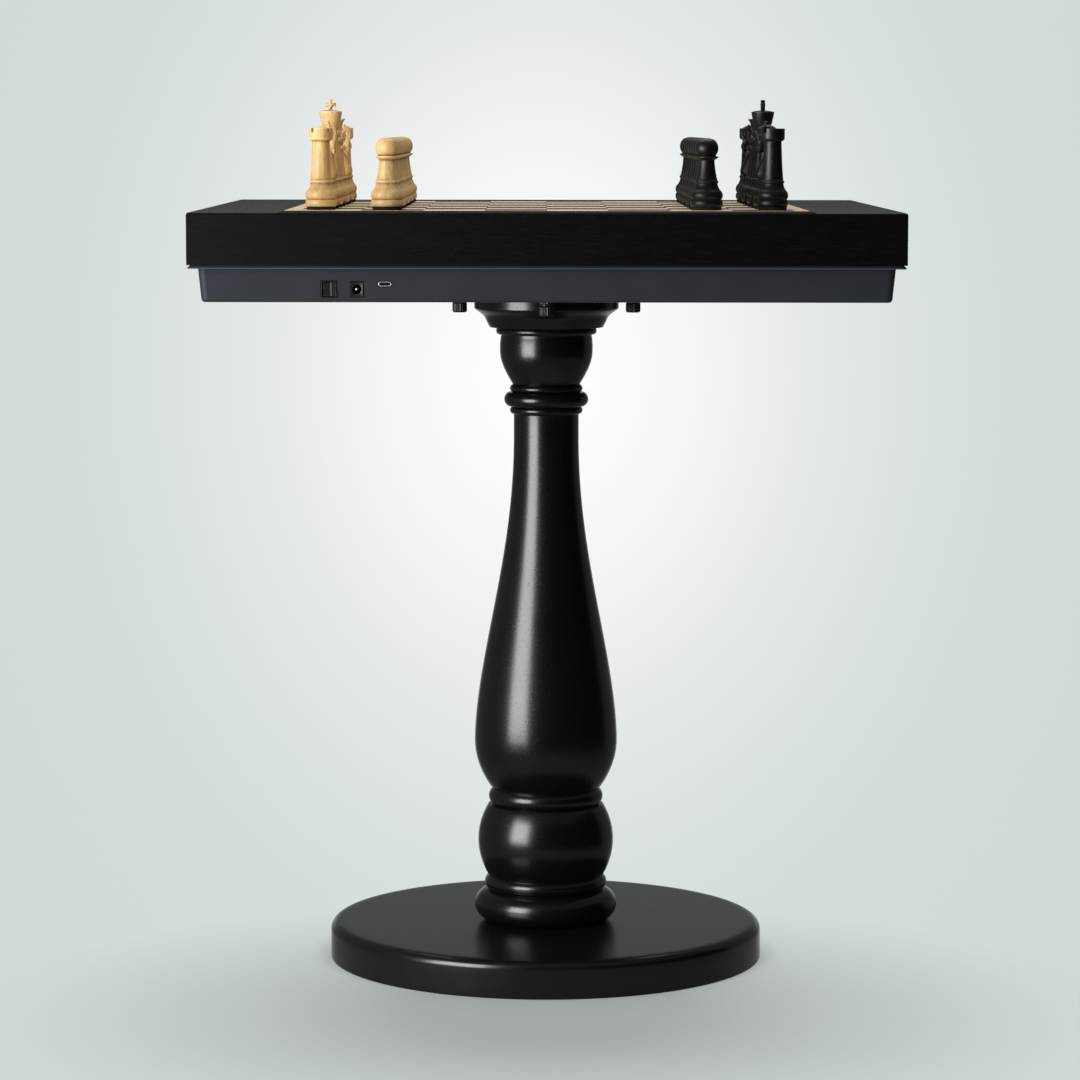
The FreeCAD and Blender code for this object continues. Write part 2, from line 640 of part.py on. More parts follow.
LIP_SCREW_EDGE = (TRAY_HALF + LIP_TOP_HALF + TRAY_LIP_BEVEL / 2) / 2


def wall_y(z):
    """Outer face of the tray's front wall at height z."""
    return -(TRAY_FOOT_HALF + TRAY_LEAN * (z - TRAY_BOTTOM))


def circuit_board_corners():
    """Places of the four screws of the circuit board."""
    xs = (CIRCUIT_BOARD_SCREW_INSET, CIRCUIT_BOARD_WIDTH - CIRCUIT_BOARD_SCREW_INSET)
    ys = (CIRCUIT_BOARD_SCREW_INSET, CIRCUIT_BOARD_DEPTH - CIRCUIT_BOARD_SCREW_INSET)
    return [(CIRCUIT_BOARD_LEFT + x, CIRCUIT_BOARD_FRONT + y) for x in xs for y in ys]


def circuit_board_screws():
    head = CIRCUIT_BOARD_SCREW_HEAD - CIRCUIT_BOARD_SCREW_RADIUS
    sizes = (CIRCUIT_BOARD_SCREW_RADIUS, CIRCUIT_BOARD_SCREW_HEAD, CIRCUIT_BOARD_SCREW_LENGTH)
    return [countersunk(x, y, CIRCUIT_BOARD_TOP + head, *sizes) for x, y in circuit_board_corners()]


def lip_screws():
    """Two screws a side, heads flush under the lip, points up in the frame."""
    screws = []
    for x in (-LIP_SCREW_PLACE, LIP_SCREW_PLACE):
        screw = countersunk(x, LIP_SCREW_EDGE, 0, LIP_SCREW_RADIUS, LIP_SCREW_HEAD_RADIUS, LIP_SCREW_LENGTH)
        screw.rotate(CENTRE, ALONG_X, 180)
        screw.translate(UP * LIP_BOTTOM)
        for quarter in range(4):
            turned_screw = screw.copy()
            turned_screw.rotate(CENTRE, UP, 90 * quarter)
            screws.append(turned_screw)
    return screws


def oval(width, height, x, z, y0, y1):
    """A bar along Y with a stadium section."""
    flat = (width - height) / 2
    half = height / 2
    steps = [(x - flat, z - half), (x + flat, z - half)]
    steps.append(((x + flat + half, z), (x + flat, z + half)))
    steps.append((x - flat, z + half))
    steps.append(((x - flat - half, z), (x - flat, z - half)))
    wire = outline_wire(steps, lambda u, v: point(u, y0, v))
    return Part.Face(wire).extrude(ALONG_Y * (y1 - y0))


def connector_block(x, width, height, depth):
    """Block of a connector, its front face just before the tray's wall."""
    front = wall_y(CONNECTOR_Z) - CONNECTOR_PROUD
    return box(x - width / 2, x + width / 2, front, front + depth,
               CONNECTOR_Z - height / 2, CONNECTOR_Z + height / 2)


def tray_posts():
    """Four posts that hold the ends of the X rods."""
    posts = []
    for side_x in (-1, 1):
        xs = sorted((side_x * POST_OUTSIDE, side_x * (POST_OUTSIDE - POST_DEPTH)))
        for side_y in (-1, 1):
            y = side_y * X_ROD_Y
            posts.append(box(xs[0], xs[1], y - POST_WIDTH / 2, y + POST_WIDTH / 2,
                             TRAY_BOTTOM + TRAY_FLOOR / 2, X_ROD_Z + POST_ABOVE_ROD))
    return posts


def lower_tray():
    """Moulded tray with drafted walls, a thin lip, rod posts, bosses and connector holes."""
    foot = rounded_square(TRAY_FOOT_HALF, TRAY_CORNER, TRAY_BOTTOM)
    brim = rounded_square(TRAY_HALF, TRAY_CORNER, LIP_BOTTOM)
    tray = Part.makeLoft([foot, brim], True, True)
    low_edges = [e for e in tray.Edges if e.BoundBox.ZMax < TRAY_BOTTOM + TRAY_FLOOR / 2]
    tray = tray.makeFillet(TRAY_BOTTOM_ROUND, low_edges)
    lip_half = FRAME_HALF - TRAY_LIP_INSET
    lip_face = Part.Face(rounded_square(lip_half, TRAY_LIP_CORNER, LIP_BOTTOM))
    bevel_foot = rounded_square(lip_half, TRAY_LIP_CORNER, LIP_BOTTOM + TRAY_LIP_EDGE)
    bevel_top = rounded_square(LIP_TOP_HALF, TRAY_LIP_CORNER - TRAY_LIP_BEVEL, FRAME_BOTTOM)
    bevel = Part.makeLoft([bevel_foot, bevel_top], True, True)
    tray = tray.fuse([lip_face.extrude(UP * TRAY_LIP_EDGE), bevel])
    inner_corner = TRAY_CORNER - TRAY_WALL
    inner_floor = rounded_square(TRAY_INSIDE + TRAY_LEAN * TRAY_FLOOR, inner_corner, FLOOR_TOP)
    inner_brim = rounded_square(TRAY_HALF - TRAY_WALL + TRAY_LEAN * TRAY_LIP, inner_corner, FRAME_BOTTOM)
    tray = tray.cut(Part.makeLoft([inner_floor, inner_brim], True, True))
    inside_floor = TRAY_BOTTOM + TRAY_FLOOR / 2
    adds = tray_posts()
    for x, y in THUMBSCREW_PLACES:
        adds.append(post(BOSS_RADIUS, x, y, inside_floor, FLOOR_TOP + BOSS_HEIGHT))
    for x, y in circuit_board_corners():
        adds.append(post(STANDOFF_RADIUS, x, y, inside_floor, CIRCUIT_BOARD_BOTTOM))
    idler_seat = X_PULLEY_BOTTOM - PULLEY_SPACE
    pin_top = X_PULLEY_BOTTOM + PULLEY_HEIGHT + PULLEY_SPACE
    adds.append(post(IDLER_BOSS_RADIUS, -X_PULLEY_X, X_PULLEY_Y, inside_floor, idler_seat))
    adds.append(post(IDLER_PIN_RADIUS, -X_PULLEY_X, X_PULLEY_Y, inside_floor, pin_top))
    tray = tray.fuse(adds).removeSplitter()
    holes = [connector_block(SWITCH_X, SWITCH_WIDTH, SWITCH_HEIGHT, SWITCH_DEPTH)]
    holes.append(connector_block(JACK_X, JACK_WIDTH, JACK_HEIGHT, JACK_DEPTH))
    usb_front = wall_y(USB_Z) - CONNECTOR_PROUD
    holes.append(oval(USB_WIDTH + 2 * USB_HOLE_MARGIN, USB_HEIGHT + 2 * USB_HOLE_MARGIN,
                      USB_X, USB_Z, usb_front, usb_front + USB_DEPTH))
    for x, y in THUMBSCREW_PLACES:
        holes.append(post(SHANK_RADIUS, x, y, TRAY_BOTTOM, FLOOR_TOP + SHANK_GRIP))
    return tray.cut(holes + lip_screws() + circuit_board_screws() + x_guide_rods())


# Wooden frame, panel and inlay
def frame_rails():
    """Four mitred rails: a tall outer wall, a wide top ledge and a rebate for the panel."""
    slope = FRAME_EDGE_ROUND * (1 - math.sqrt(0.5))
    rim = FRAME_HALF - FRAME_EDGE_ROUND
    top_round = (FRAME_HALF - slope, BOARD_TOP - slope)
    steps = [(STRIP_HALF - REBATE_WIDTH, LEDGE_BOTTOM), (WALL_INSIDE, LEDGE_BOTTOM)]
    steps += [(WALL_INSIDE, FRAME_BOTTOM), (FRAME_HALF, FRAME_BOTTOM)]
    steps.append((FRAME_HALF, BOARD_TOP - FRAME_EDGE_ROUND))
    steps.append((top_round, (rim, BOARD_TOP)))
    steps += [(STRIP_HALF, BOARD_TOP), (STRIP_HALF, SENSOR_BOTTOM)]
    steps.append((STRIP_HALF - REBATE_WIDTH, SENSOR_BOTTOM))
    wire = outline_wire(steps, lambda out, z: point(-FRAME_HALF, -out, z))
    bar = Part.Face(wire).extrude(ALONG_X * (2 * FRAME_HALF))
    corners = [point(0, 0, FRAME_BOTTOM), point(-FRAME_HALF, -FRAME_HALF, FRAME_BOTTOM)]
    corners.append(point(FRAME_HALF, -FRAME_HALF, FRAME_BOTTOM))
    mitre = Part.Face(Part.makePolygon(corners + corners[:1])).extrude(UP * FRAME_HEIGHT)
    rail = bar.common(mitre)
    screws = lip_screws()
    rails = []
    for quarter in range(4):
        turned_rail = rail.copy()
        turned_rail.rotate(CENTRE, UP, 90 * quarter)
        rails.append(turned_rail.cut(screws).Solids[0])
    return rails


def square_centre(step):
    """Distance of a file or rank from the board's middle line, step 0 to 7."""
    return (step + 0.5) * SQUARE - FIELD_HALF


def light_inlay():
    """Light squares and the four strips round the field, let into the panel."""
    low = BOARD_TOP - INLAY_THICKNESS
    half = (SQUARE - INLAY_KERF) / 2
    solids = []
    for file in range(SQUARES):
        for rank in range(SQUARES):
            if (file + rank) % 2 == 0:
                x = square_centre(file)
                y = square_centre(rank)
                solids.append(box(x - half, x + half, y - half, y + half, low, BOARD_TOP))
    inside = FIELD_HALF + INLAY_KERF / 2
    outside = STRIP_HALF - PANEL_CLEARANCE
    solids.append(box(-outside, outside, -outside, -inside, low, BOARD_TOP))
    solids.append(box(-outside, outside, inside, outside, low, BOARD_TOP))
    solids.append(box(-outside, -inside, -inside, inside, low, BOARD_TOP))
    solids.append(box(inside, outside, -inside, inside, low, BOARD_TOP))
    return solids


def board_panel():
    """Dark panel with pockets for the light inlay."""
    half = STRIP_HALF - PANEL_CLEARANCE
    panel = box(-half, half, -half, half, PANEL_BOTTOM, BOARD_TOP)
    return panel.cut(light_inlay())


def sensor_board():
    """Thin circuit board under the panel, with one sensor below each square."""
    half = STRIP_HALF - PANEL_CLEARANCE
    solids = [box(-half, half, -half, half, SENSOR_BOTTOM, PANEL_BOTTOM)]
    reach = SENSOR_SIZE / 2
    for file in range(SQUARES):
        for rank in range(SQUARES):
            x = square_centre(file)
            y = square_centre(rank)
            solids.append(box(x - reach, x + reach, y - reach, y + reach,
                              SENSOR_BOTTOM - SENSOR_THICKNESS, SENSOR_BOTTOM))
    return solids


# Switch, jack, port and circuit board
WELL_WIDTH = SWITCH_WIDTH - 2 * SWITCH_RIM
WELL_HEIGHT = SWITCH_HEIGHT - 2 * SWITCH_RIM
SWITCH_FRONT = wall_y(CONNECTOR_Z) - CONNECTOR_PROUD
ROCKER_PIVOT_Y = SWITCH_FRONT + ROCKER_PIVOT_DEPTH


def rocker_pin(radius, reach):
    """Upright pivot pin of the rocker, its ends held in the rim."""
    half = WELL_HEIGHT / 2 + reach
    return post(radius, SWITCH_X, ROCKER_PIVOT_Y, CONNECTOR_Z - half, CONNECTOR_Z + half)


def power_switch_housing():
    """Open-fronted block with a well for the rocker."""
    housing = connector_block(SWITCH_X, SWITCH_WIDTH, SWITCH_HEIGHT, SWITCH_DEPTH)
    housing = housing.cut(connector_block(SWITCH_X, WELL_WIDTH, WELL_HEIGHT, SWITCH_WELL))
    return housing.cut(rocker_pin(ROCKER_PIN_RADIUS + RUNNING_FIT, ROCKER_PIN_REACH))


def power_rocker():
    """Rocker with a shallow valley across its face, at rest with its right half pressed in."""
    half = WELL_WIDTH / 2 - ROCKER_SIDE_GAP
    tilt = math.radians(ROCKER_ANGLE)
    tip = ROCKER_PIVOT_DEPTH + half * math.tan(tilt)
    steps = [(0, ROCKER_PIVOT_DEPTH), (half, tip), (half, 0)]
    steps.append(((0, -ROCKER_BACK), (-half, 0)))
    steps.append((-half, tip))
    tall = WELL_HEIGHT - 2 * ROCKER_END_GAP
    low = CONNECTOR_Z - tall / 2
    wire = outline_wire(steps, lambda u, v: point(SWITCH_X + u, ROCKER_PIVOT_Y - v, low))
    rocker = Part.Face(wire).extrude(UP * tall)
    rocker = rocker.fuse(rocker_pin(ROCKER_PIN_RADIUS, ROCKER_PIN_REACH)).removeSplitter()
    rocker.rotate(point(SWITCH_X, ROCKER_PIVOT_Y, 0), UP, ROCKER_ANGLE)
    return rocker


def dc_power_jack():
    """Square-faced barrel jack with its centre pin."""
    bottom = SWITCH_FRONT + JACK_BORE_DEPTH
    centre = point(JACK_X, SWITCH_FRONT, CONNECTOR_Z)
    bore = Part.makeCylinder(JACK_BORE_RADIUS, JACK_BORE_DEPTH, centre, ALONG_Y)
    body = connector_block(JACK_X, JACK_WIDTH, JACK_HEIGHT, JACK_DEPTH).cut(bore)
    tip = SWITCH_FRONT + JACK_PIN_SETBACK
    pin = Part.makeCylinder(JACK_PIN_RADIUS, bottom - tip, point(JACK_X, tip, CONNECTOR_Z), ALONG_Y)
    return [body, pin]


def usb_c_port():
    """Oval metal shell with its contact tongue, on the front edge of the circuit board."""
    front = wall_y(USB_Z) - CONNECTOR_PROUD
    back = front + USB_DEPTH
    hollow = back - USB_WALL
    shell = oval(USB_WIDTH, USB_HEIGHT, USB_X, USB_Z, front, back)
    inside = (USB_WIDTH - 2 * USB_WALL, USB_HEIGHT - 2 * USB_WALL)
    shell = shell.cut(oval(*inside, USB_X, USB_Z, front, hollow))
    tongue = box(USB_X - USB_TONGUE_WIDTH / 2, USB_X + USB_TONGUE_WIDTH / 2,
                 front + USB_TONGUE_SETBACK, hollow,
                 USB_Z - USB_TONGUE_THICKNESS / 2, USB_Z + USB_TONGUE_THICKNESS / 2)
    return [shell, tongue]


LEAD_Z = CIRCUIT_BOARD_TOP + PLUG_BLOCK_HEIGHT / 2
CHIP_PLACES = ((38, 30, 14, 14), (66, 22, 8, 8), (66, 40, 8, 8), (30, 56, 10, 6), (54, 58, 18, 6))


def lead(x, start, end):
    """A lead that runs back from a connector, bends once and ends in the board's plug block."""
    bend = LEAD_BEND * (1 - math.sqrt(0.5))
    corner = point(x, end - LEAD_BEND, LEAD_Z)
    leave = point(x + LEAD_BEND, end, LEAD_Z)
    middle = point(x + bend, end - bend, LEAD_Z)
    edges = [Part.LineSegment(point(x, start, LEAD_Z), corner).toShape()]
    edges.append(Part.Arc(corner, middle, leave).toShape())
    edges.append(Part.LineSegment(leave, point(CIRCUIT_BOARD_LEFT, end, LEAD_Z)).toShape())
    section = Part.Wire(Part.makeCircle(LEAD_RADIUS, point(x, start, LEAD_Z), ALONG_Y))
    return Part.Wire(edges).makePipeShell([section], True, True)


def main_circuit_board():
    """Board with its chips, the plug block and the leads from the switch and the jack."""
    right = CIRCUIT_BOARD_LEFT + CIRCUIT_BOARD_WIDTH
    back = CIRCUIT_BOARD_FRONT + CIRCUIT_BOARD_DEPTH
    board = box(CIRCUIT_BOARD_LEFT, right, CIRCUIT_BOARD_FRONT, back,
                CIRCUIT_BOARD_BOTTOM, CIRCUIT_BOARD_TOP)
    solids = [board.cut(circuit_board_screws())]
    for x, y, wide, deep in CHIP_PLACES:
        x0 = CIRCUIT_BOARD_LEFT + x
        y0 = CIRCUIT_BOARD_FRONT + y
        solids.append(box(x0, x0 + wide, y0, y0 + deep,
                          CIRCUIT_BOARD_TOP, CIRCUIT_BOARD_TOP + CHIP_THICKNESS))
    jack_back = SWITCH_FRONT + JACK_DEPTH
    switch_back = SWITCH_FRONT + SWITCH_DEPTH
    jack_end = jack_back + LEAD_RUN / 2
    switch_end = switch_back + LEAD_RUN
    block_y = (jack_end - LEAD_PITCH, switch_end + 2 * LEAD_PITCH)
    solids.append(box(CIRCUIT_BOARD_LEFT, CIRCUIT_BOARD_LEFT + PLUG_BLOCK_WIDTH, *block_y,
                      CIRCUIT_BOARD_TOP, CIRCUIT_BOARD_TOP + PLUG_BLOCK_HEIGHT))
    half = LEAD_PITCH / 2
    solids.append(lead(JACK_X - half, jack_back, jack_end + LEAD_PITCH))
    solids.append(lead(JACK_X + half, jack_back, jack_end))
    solids.append(lead(SWITCH_X - half, switch_back, switch_end + LEAD_PITCH))
    solids.append(lead(SWITCH_X + half, switch_back, switch_end))
    return solids


# Drive under the board
X_ROD_END = POST_OUTSIDE - ROD_END_COVER
TRUCK_BOTTOM = X_ROD_Z - TRUCK_HEIGHT / 2
TRUCK_TOP = X_ROD_Z + TRUCK_HEIGHT / 2
TRUCK_INSIDE = X_ROD_Y - TRUCK_WIDTH / 2
Y_ROD_Z = X_ROD_Z + Y_ROD_RISE
CARRIAGE_BOTTOM = Y_ROD_Z - CARRIAGE_HEIGHT / 2
Y_PULLEY_Y = TRUCK_INSIDE - Y_PULLEY_FROM_TRUCK
Y_PULLEY_TOP = CARRIAGE_BOTTOM - PULLEY_SPACE
Y_PULLEY_BOTTOM = Y_PULLEY_TOP - PULLEY_HEIGHT
BRACKET_TOP = Y_PULLEY_BOTTOM - PULLEY_SPACE
BRACKET_BOTTOM = BRACKET_TOP - BRACKET_THICKNESS
BELT_INSIDE = PULLEY_RADIUS + BELT_CLEARANCE
BELT_OUTSIDE = BELT_INSIDE + BELT_THICKNESS


def rod_along_x(radius, y, z, x0, x1):
    return Part.makeCylinder(radius, x1 - x0, point(x0, y, z), ALONG_X)


def rod_along_y(radius, x, z, y0, y1):
    return Part.makeCylinder(radius, y1 - y0, point(x, y0, z), ALONG_Y)


def x_guide_rods():
    """Two steel rods between the tray's posts."""
    return [rod_along_x(X_ROD_RADIUS, y, X_ROD_Z, -X_ROD_END, X_ROD_END) for y in (-X_ROD_Y, X_ROD_Y)]


def y_guide_rods():
    """Two steel rods between the trucks."""
    end = TRUCK_INSIDE + Y_ROD_SOCKET
    return [rod_along_y(Y_ROD_RADIUS, x, Y_ROD_Z, -end, end) for x in (-Y_ROD_X, Y_ROD_X)]


def truck(side):
    """Sliding block on one X rod, side -1 at the front and 1 at the back."""
    y = side * X_ROD_Y
    half = TRUCK_LENGTH / 2
    block = box(-half, half, y - TRUCK_WIDTH / 2, y + TRUCK_WIDTH / 2, TRUCK_BOTTOM, TRUCK_TOP)
    if side < 0:
        block = block.fuse(idler_tongue()).fuse(x_belt_clamp())
    else:
        block = block.fuse(motor_bracket())
    block = block.removeSplitter()
    bore = rod_along_x(X_ROD_RADIUS + RUNNING_FIT, y, X_ROD_Z, -half, half)
    return block.cut([bore] + y_guide_rods())


def idler_tongue():
    """Tongue of the front truck with the pin that the Y idler hangs on."""
    y = -Y_PULLEY_Y
    half = TONGUE_WIDTH / 2
    tongue = box(-half, half, -TRUCK_INSIDE, y + half, CARRIAGE_BOTTOM, CARRIAGE_BOTTOM + TONGUE_THICKNESS)
    head_top = Y_PULLEY_BOTTOM - IDLER_HEAD_GAP
    pin = post(IDLER_PIN_RADIUS, 0, y, head_top, CARRIAGE_BOTTOM)
    head = post(IDLER_HEAD_RADIUS, 0, y, head_top - IDLER_HEAD_THICKNESS, head_top)
    return tongue.fuse([pin, head])


def x_belt_clamp():
    """Arm of the front truck that reaches down beside the X belt."""
    face = X_PULLEY_Y - BELT_OUTSIDE - CLAMP_GAP
    low = X_PULLEY_BOTTOM + PULLEY_FLANGE_THICKNESS
    return box(-CLAMP_LENGTH / 2, CLAMP_LENGTH / 2, face - CLAMP_THICKNESS, face, low, TRUCK_BOTTOM)


def motor_bracket():
    """Plate under the rear truck that the Y motor hangs from."""
    half = BRACKET_WIDTH / 2
    back = X_ROD_Y + TRUCK_WIDTH / 2
    plate = box(-half, half, Y_PULLEY_Y - half, back, BRACKET_BOTTOM, BRACKET_TOP)
    riser = box(-half, half, TRUCK_INSIDE, back, BRACKET_TOP, TRUCK_BOTTOM)
    hole = post(SHAFT_RADIUS + PULLEY_SPACE, 0, Y_PULLEY_Y, BRACKET_BOTTOM, BRACKET_TOP)
    return plate.fuse(riser).cut(hole)


def bridge():
    return [truck(-1), truck(1)] + y_guide_rods()


def magnet_carriage():
    """Block on the Y rods with a pocket for the electromagnet and an arm beside the Y belt."""
    half_x = CARRIAGE_LENGTH / 2
    half_y = CARRIAGE_WIDTH / 2
    top = CARRIAGE_BOTTOM + CARRIAGE_HEIGHT
    block = box(-half_x, half_x, -half_y, half_y, CARRIAGE_BOTTOM, top)
    face = BELT_OUTSIDE + CLAMP_GAP
    low = Y_PULLEY_BOTTOM + PULLEY_FLANGE_THICKNESS
    arm = box(face, face + CLAMP_THICKNESS, -CLAMP_LENGTH / 2, CLAMP_LENGTH / 2, low, CARRIAGE_BOTTOM)
    block = block.fuse(arm).removeSplitter()
    cuts = [post(MAGNET_RADIUS + MAGNET_CLEARANCE, 0, 0, CARRIAGE_BOTTOM + CARRIAGE_FLOOR, top)]
    for x in (-Y_ROD_X, Y_ROD_X):
        cuts.append(rod_along_y(Y_ROD_RADIUS + RUNNING_FIT, x, Y_ROD_Z, -half_y, half_y))
    return block.cut(cuts)


def electromagnet():
    return post(MAGNET_RADIUS, 0, 0, CARRIAGE_BOTTOM + CARRIAGE_FLOOR, LEDGE_BOTTOM - MAGNET_TOP_GAP)


def motor(size, x, y, z0, z1):
    """Square motor with a bore for its shaft."""
    half = size / 2
    block = box(x - half, x + half, y - half, y + half, z0, z1)
    upright = [e for e in block.Edges if e.BoundBox.ZLength > (z1 - z0) / 2]
    block = block.makeFillet(MOTOR_CORNER, upright)
    return block.cut(post(SHAFT_RADIUS + RUNNING_FIT, x, y, z1 - SHAFT_DEPTH - PULLEY_SPACE, z1))


def pulley(x, y, z0):
    """Flanged belt pulley, solid."""
    z1 = z0 + PULLEY_HEIGHT
    flange = PULLEY_RADIUS + PULLEY_FLANGE
    core = post(PULLEY_RADIUS, x, y, z0, z1)
    low = post(flange, x, y, z0, z0 + PULLEY_FLANGE_THICKNESS)
    return core.fuse([low, post(flange, x, y, z1 - PULLEY_FLANGE_THICKNESS, z1)]).removeSplitter()


def drive_pulley(x, y, z0, motor_top):
    """Pulley on its motor shaft."""
    shaft = post(SHAFT_RADIUS, x, y, motor_top - SHAFT_DEPTH, z0)
    return pulley(x, y, z0).fuse(shaft).removeSplitter()


def idler_pulley(x, y, z0):
    """Pulley bored for its pin."""
    return pulley(x, y, z0).cut(post(IDLER_PIN_RADIUS + RUNNING_FIT, x, y, z0, z0 + PULLEY_HEIGHT))


def belt(ends, across, z0):
    """Closed belt round two pulleys. The ends are their places, across is the side direction."""
    low = z0 + PULLEY_FLANGE_THICKNESS + BELT_SIDE_GAP

    def loop(radius):
        first, last = ends
        away = (last - first).normalize()
        side = across * radius
        start = [first + side, last + side, last - side, first - side]
        edges = [Part.LineSegment(start[0], start[1]).toShape()]
        edges.append(Part.Arc(start[1], last + away * radius, start[2]).toShape())
        edges.append(Part.LineSegment(start[2], start[3]).toShape())
        edges.append(Part.Arc(start[3], first - away * radius, start[0]).toShape())
        face = Part.Face(Part.Wire(edges))
        face.translate(UP * low)
        return face.extrude(UP * BELT_WIDTH)

    return loop(BELT_OUTSIDE).cut(loop(BELT_INSIDE))


# Chessmen, each modelled on the axis with its felt on the plane Z = 0
STEM_FOOT = PLINTH_HEIGHT + BULGE_HEIGHT + COVE_HEIGHT + RING_HEIGHT


def foot_steps(base, stem):
    """Outline from the felt to the stem: plinth, groove, bulge, cove and ring."""
    edge = base - PLINTH_BEAD
    bulge_top = PLINTH_HEIGHT + BULGE_HEIGHT
    ring_foot = bulge_top + COVE_HEIGHT
    bulge_rim = (base + stem) / 2
    steps = [(0, FELT_THICKNESS)]
    steps += bead(edge, base, FELT_THICKNESS, PLINTH_HEIGHT)
    steps.append((base - PLINTH_GROOVE, PLINTH_HEIGHT))
    steps.append(((base, PLINTH_HEIGHT + BULGE_HEIGHT / 2), (bulge_rim, bulge_top)))
    cove = ((stem + bulge_rim) / 2 - RING_CREST / 2, (bulge_top + ring_foot) / 2)
    steps.append((cove, (stem, ring_foot)))
    steps.append(((stem + RING_CREST, ring_foot + RING_HEIGHT / 2), (stem, STEM_FOOT)))
    return steps


def stem_step(stem, waist, top):
    """A hollow curve from the ring up to the waist at height top."""
    return ((waist + (stem - waist) * STEM_HOLLOW, (STEM_FOOT + top) / 2), (waist, top))


def collared_steps(base, stem, waist, neck_top):
    """Foot, stem, a beaded collar and a short neck, up to height neck_top."""
    bead_top = neck_top - NECK_HEIGHT
    bead_foot = bead_top - COLLAR_BEAD_HEIGHT
    steps = foot_steps(base, stem)
    steps.append(stem_step(stem, waist, bead_foot))
    steps.append(((waist + COLLAR_BEAD_CREST, (bead_foot + bead_top) / 2), (waist, bead_top)))
    steps.append((waist, neck_top))
    return steps


def cap_step(radius, foot, top):
    """A spherical cap from the given radius at height foot up to the axis at height top."""
    rise = top - foot
    sphere = (radius ** 2 + rise ** 2) / (2 * rise)
    half_angle = math.atan2(radius, sphere - rise) / 2
    middle = (sphere * math.sin(half_angle), top - sphere + sphere * math.cos(half_angle))
    return (middle, (0, top))


def ball_steps(root, radius, top):
    """A ball on the axis that ends at height top and meets what is below it at radius root."""
    centre = top - radius
    return [(root, centre - math.sqrt(radius ** 2 - root ** 2)), ((radius, centre), (0, top))]


def pawn():
    head_foot = PAWN_HEIGHT - PAWN_HEAD_HEIGHT
    waist_top = head_foot - PAWN_COLLAR_HEIGHT
    edge_foot = waist_top + PAWN_COLLAR_FLARE
    cap_foot = PAWN_HEIGHT - PAWN_CAP_HEIGHT
    steps = foot_steps(PAWN_BASE_RADIUS, PAWN_STEM_RADIUS)
    steps.append(stem_step(PAWN_STEM_RADIUS, PAWN_WAIST_RADIUS, waist_top))
    steps.append((PAWN_COLLAR_RADIUS, edge_foot))
    steps.append((PAWN_COLLAR_RADIUS, edge_foot + PAWN_COLLAR_EDGE))
    steps.append((PAWN_NECK_RADIUS, head_foot))
    widest = (PAWN_HEAD_RADIUS, head_foot + PAWN_HEAD_MIDDLE)
    steps.append((widest, (PAWN_CAP_RADIUS, cap_foot)))
    steps.append(cap_step(PAWN_CAP_RADIUS, cap_foot, PAWN_HEIGHT))
    return turned(steps)


def rook():
    turret_foot = ROOK_HEIGHT - ROOK_TURRET_HEIGHT
    well = ROOK_HEIGHT - ROOK_WELL_DEPTH
    steps = foot_steps(ROOK_BASE_RADIUS, ROOK_STEM_RADIUS)
    steps.append(stem_step(ROOK_STEM_RADIUS, ROOK_WAIST_RADIUS, turret_foot - ROOK_SHOULDER))
    swell = math.sqrt(0.5)
    bowl_radius = ROOK_WAIST_RADIUS + (ROOK_TURRET_RADIUS - ROOK_WAIST_RADIUS) * swell
    bowl = (bowl_radius, turret_foot - ROOK_SHOULDER * swell)
    steps.append((bowl, (ROOK_TURRET_RADIUS, turret_foot)))
    steps += [(ROOK_TURRET_RADIUS, ROOK_HEIGHT), (ROOK_WELL_RADIUS, ROOK_HEIGHT)]
    steps += [(ROOK_WELL_RADIUS, well), (0, well)]
    body = turned(steps)
    half = ROOK_NOTCH_WIDTH / 2
    for turn in (45, 135):
        notch = box(-ROOK_TURRET_RADIUS, ROOK_TURRET_RADIUS, -half, half, well, ROOK_HEIGHT)
        notch.rotate(CENTRE, UP, turn)
        body = body.cut(notch)
    return body


# Side view of the knight above its ring, facing +X: forward from the axis and up from the stem
KNIGHT_BACK = ((-9.0, 15.0), (-7.4, 33.0))
KNIGHT_CREST = ((-3.8, 38.0), (2.4, 39.4))
KNIGHT_EARS = ((3.6, 40.2), (5.2, 38.8))
KNIGHT_FACE = ((9.0, 36.6), (9.4, 32.0))
KNIGHT_NOSE = (8.2, 26.0)
KNIGHT_MUZZLE = ((9.2, 20.6), (6.8, 17.8))
KNIGHT_JAW = ((4.6, 19.6), (2.6, 18.8))
KNIGHT_CHEST = ((6.8, 12.4), (9.6, 5.0))
KNIGHT_BREAST = (9.4, 2.0)


